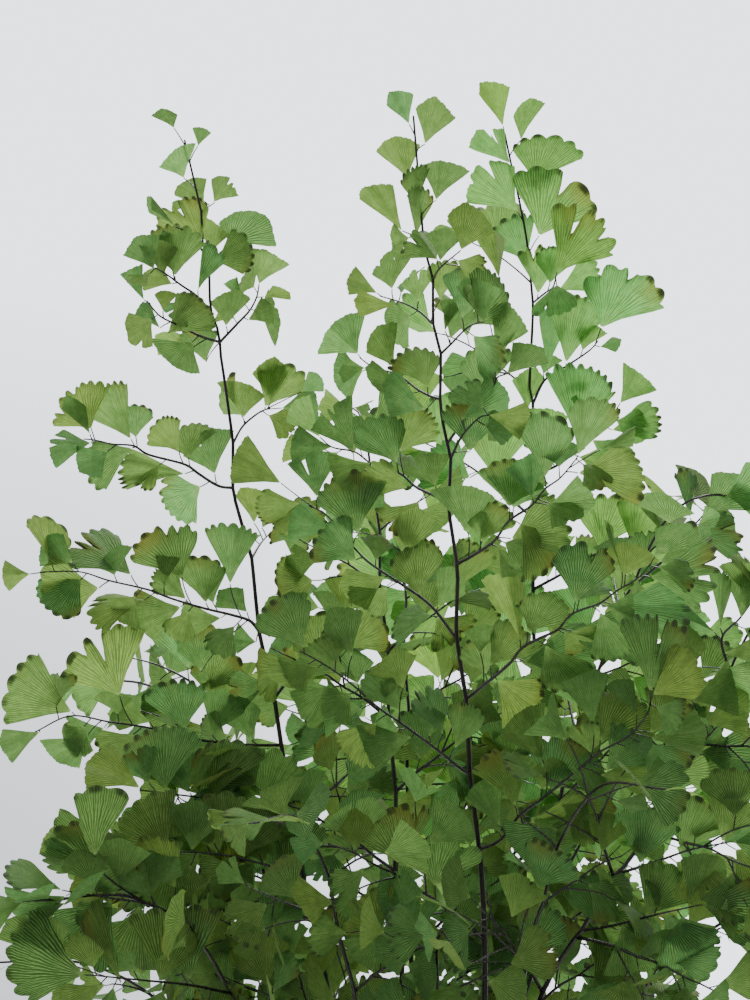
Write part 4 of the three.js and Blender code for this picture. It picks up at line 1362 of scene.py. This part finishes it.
def add_floor():
    radius = np.concatenate([[NEAR_AXIS], np.linspace(FLOOR_FLAT, FLOOR_REACH, FLOOR_RINGS)])
    profile = np.stack([radius, np.full(len(radius), -FLOOR_BELOW)], 1)
    n = Nodes("floor")
    spot = n.node("SeparateXYZ", inputs={0: n.spot()}).outputs
    span = n.math("SQRT", n.math("ADD", n.math("POWER", spot[0], 2.0), n.math("POWER", spot[1], 2.0)))
    skin = n.node("BsdfPrincipled", inputs={"Base Color": FLOOR_TINT, "Roughness": FLOOR_ROUGH})
    clear = n.node("BsdfTransparent")
    share = n.steps(span, *FLOOR_FADES)
    both = n.node("MixShader", inputs={0: share, 1: skin.outputs[0], 2: clear.outputs[0]})
    floor = turned(profile, FLOOR_SIDES).piece("floor", n.surface(both.outputs[0]))


def add_light(name, place, target, size, power, tint):
    data = bpy.data.lights.new(name, "AREA")
    data.shape = "DISK"
    data.size = size
    data.energy = power
    data.color = tint
    light = bpy.data.objects.new(name, data)
    light.location = place
    towards = Vector(target) - Vector(place)
    light.rotation_euler = towards.to_track_quat("-Z", "Y").to_euler()
    bpy.context.scene.collection.objects.link(light)


def by_direction(tree, direction, low, high):
    """A value that runs from low to high as a ray turns towards a direction. Each is (cosine, value)."""
    turned_to = tree.nodes.new("ShaderNodeVectorMath")
    turned_to.operation = "DOT_PRODUCT"
    turned_to.inputs[1].default_value = Vector(direction).normalized()
    value = tree.nodes.new("ShaderNodeMapRange")
    tree.links.new(tree.nodes.new("ShaderNodeTexCoord").outputs["Generated"], turned_to.inputs[0])
    tree.links.new(turned_to.outputs["Value"], value.inputs["Value"])
    for key, number in zip(("From Min", "To Min", "From Max", "To Max"), (*low, *high)):
        value.inputs[key].default_value = number
    return value.outputs["Result"]


def add_world():
    """A pale backdrop that the camera sees, and a sky that lights the plant from above and behind."""
    world = bpy.data.worlds.new("studio")
    world.use_nodes = True
    tree = world.node_tree
    paper, sky = tree.nodes["Background"], tree.nodes.new("ShaderNodeBackground")
    sky.inputs["Color"].default_value = (1, 1, 1, 1)
    paper.inputs["Color"].default_value = PAPER
    tree.links.new(by_direction(tree, *BACKDROP), paper.inputs["Strength"])
    tree.links.new(by_direction(tree, *SKY), sky.inputs["Strength"])
    both = tree.nodes.new("ShaderNodeMixShader")
    tree.links.new(tree.nodes.new("ShaderNodeLightPath").outputs["Is Camera Ray"], both.inputs[0])
    tree.links.new(sky.outputs[0], both.inputs[1])
    tree.links.new(paper.outputs[0], both.inputs[2])
    tree.links.new(both.outputs[0], tree.nodes["World Output"].inputs[0])
    bpy.context.scene.world = world


def add_camera():
    data = bpy.data.cameras.new("camera")
    data.sensor_fit = "VERTICAL"
    data.sensor_height = SENSOR
    data.lens = SENSOR * -EYE[1] / VIEW_HEIGHT
    data.clip_start = 0.02
    data.clip_end = 20
    camera = bpy.data.objects.new("camera", data)
    camera.location = [c * METRES for c in EYE]
    camera.rotation_euler = (math.pi / 2, 0, 0)
    bpy.context.scene.collection.objects.link(camera)
    bpy.context.scene.camera = camera


add_floor()
add_world()
for light in LIGHTS:
    add_light(*light)
add_camera()
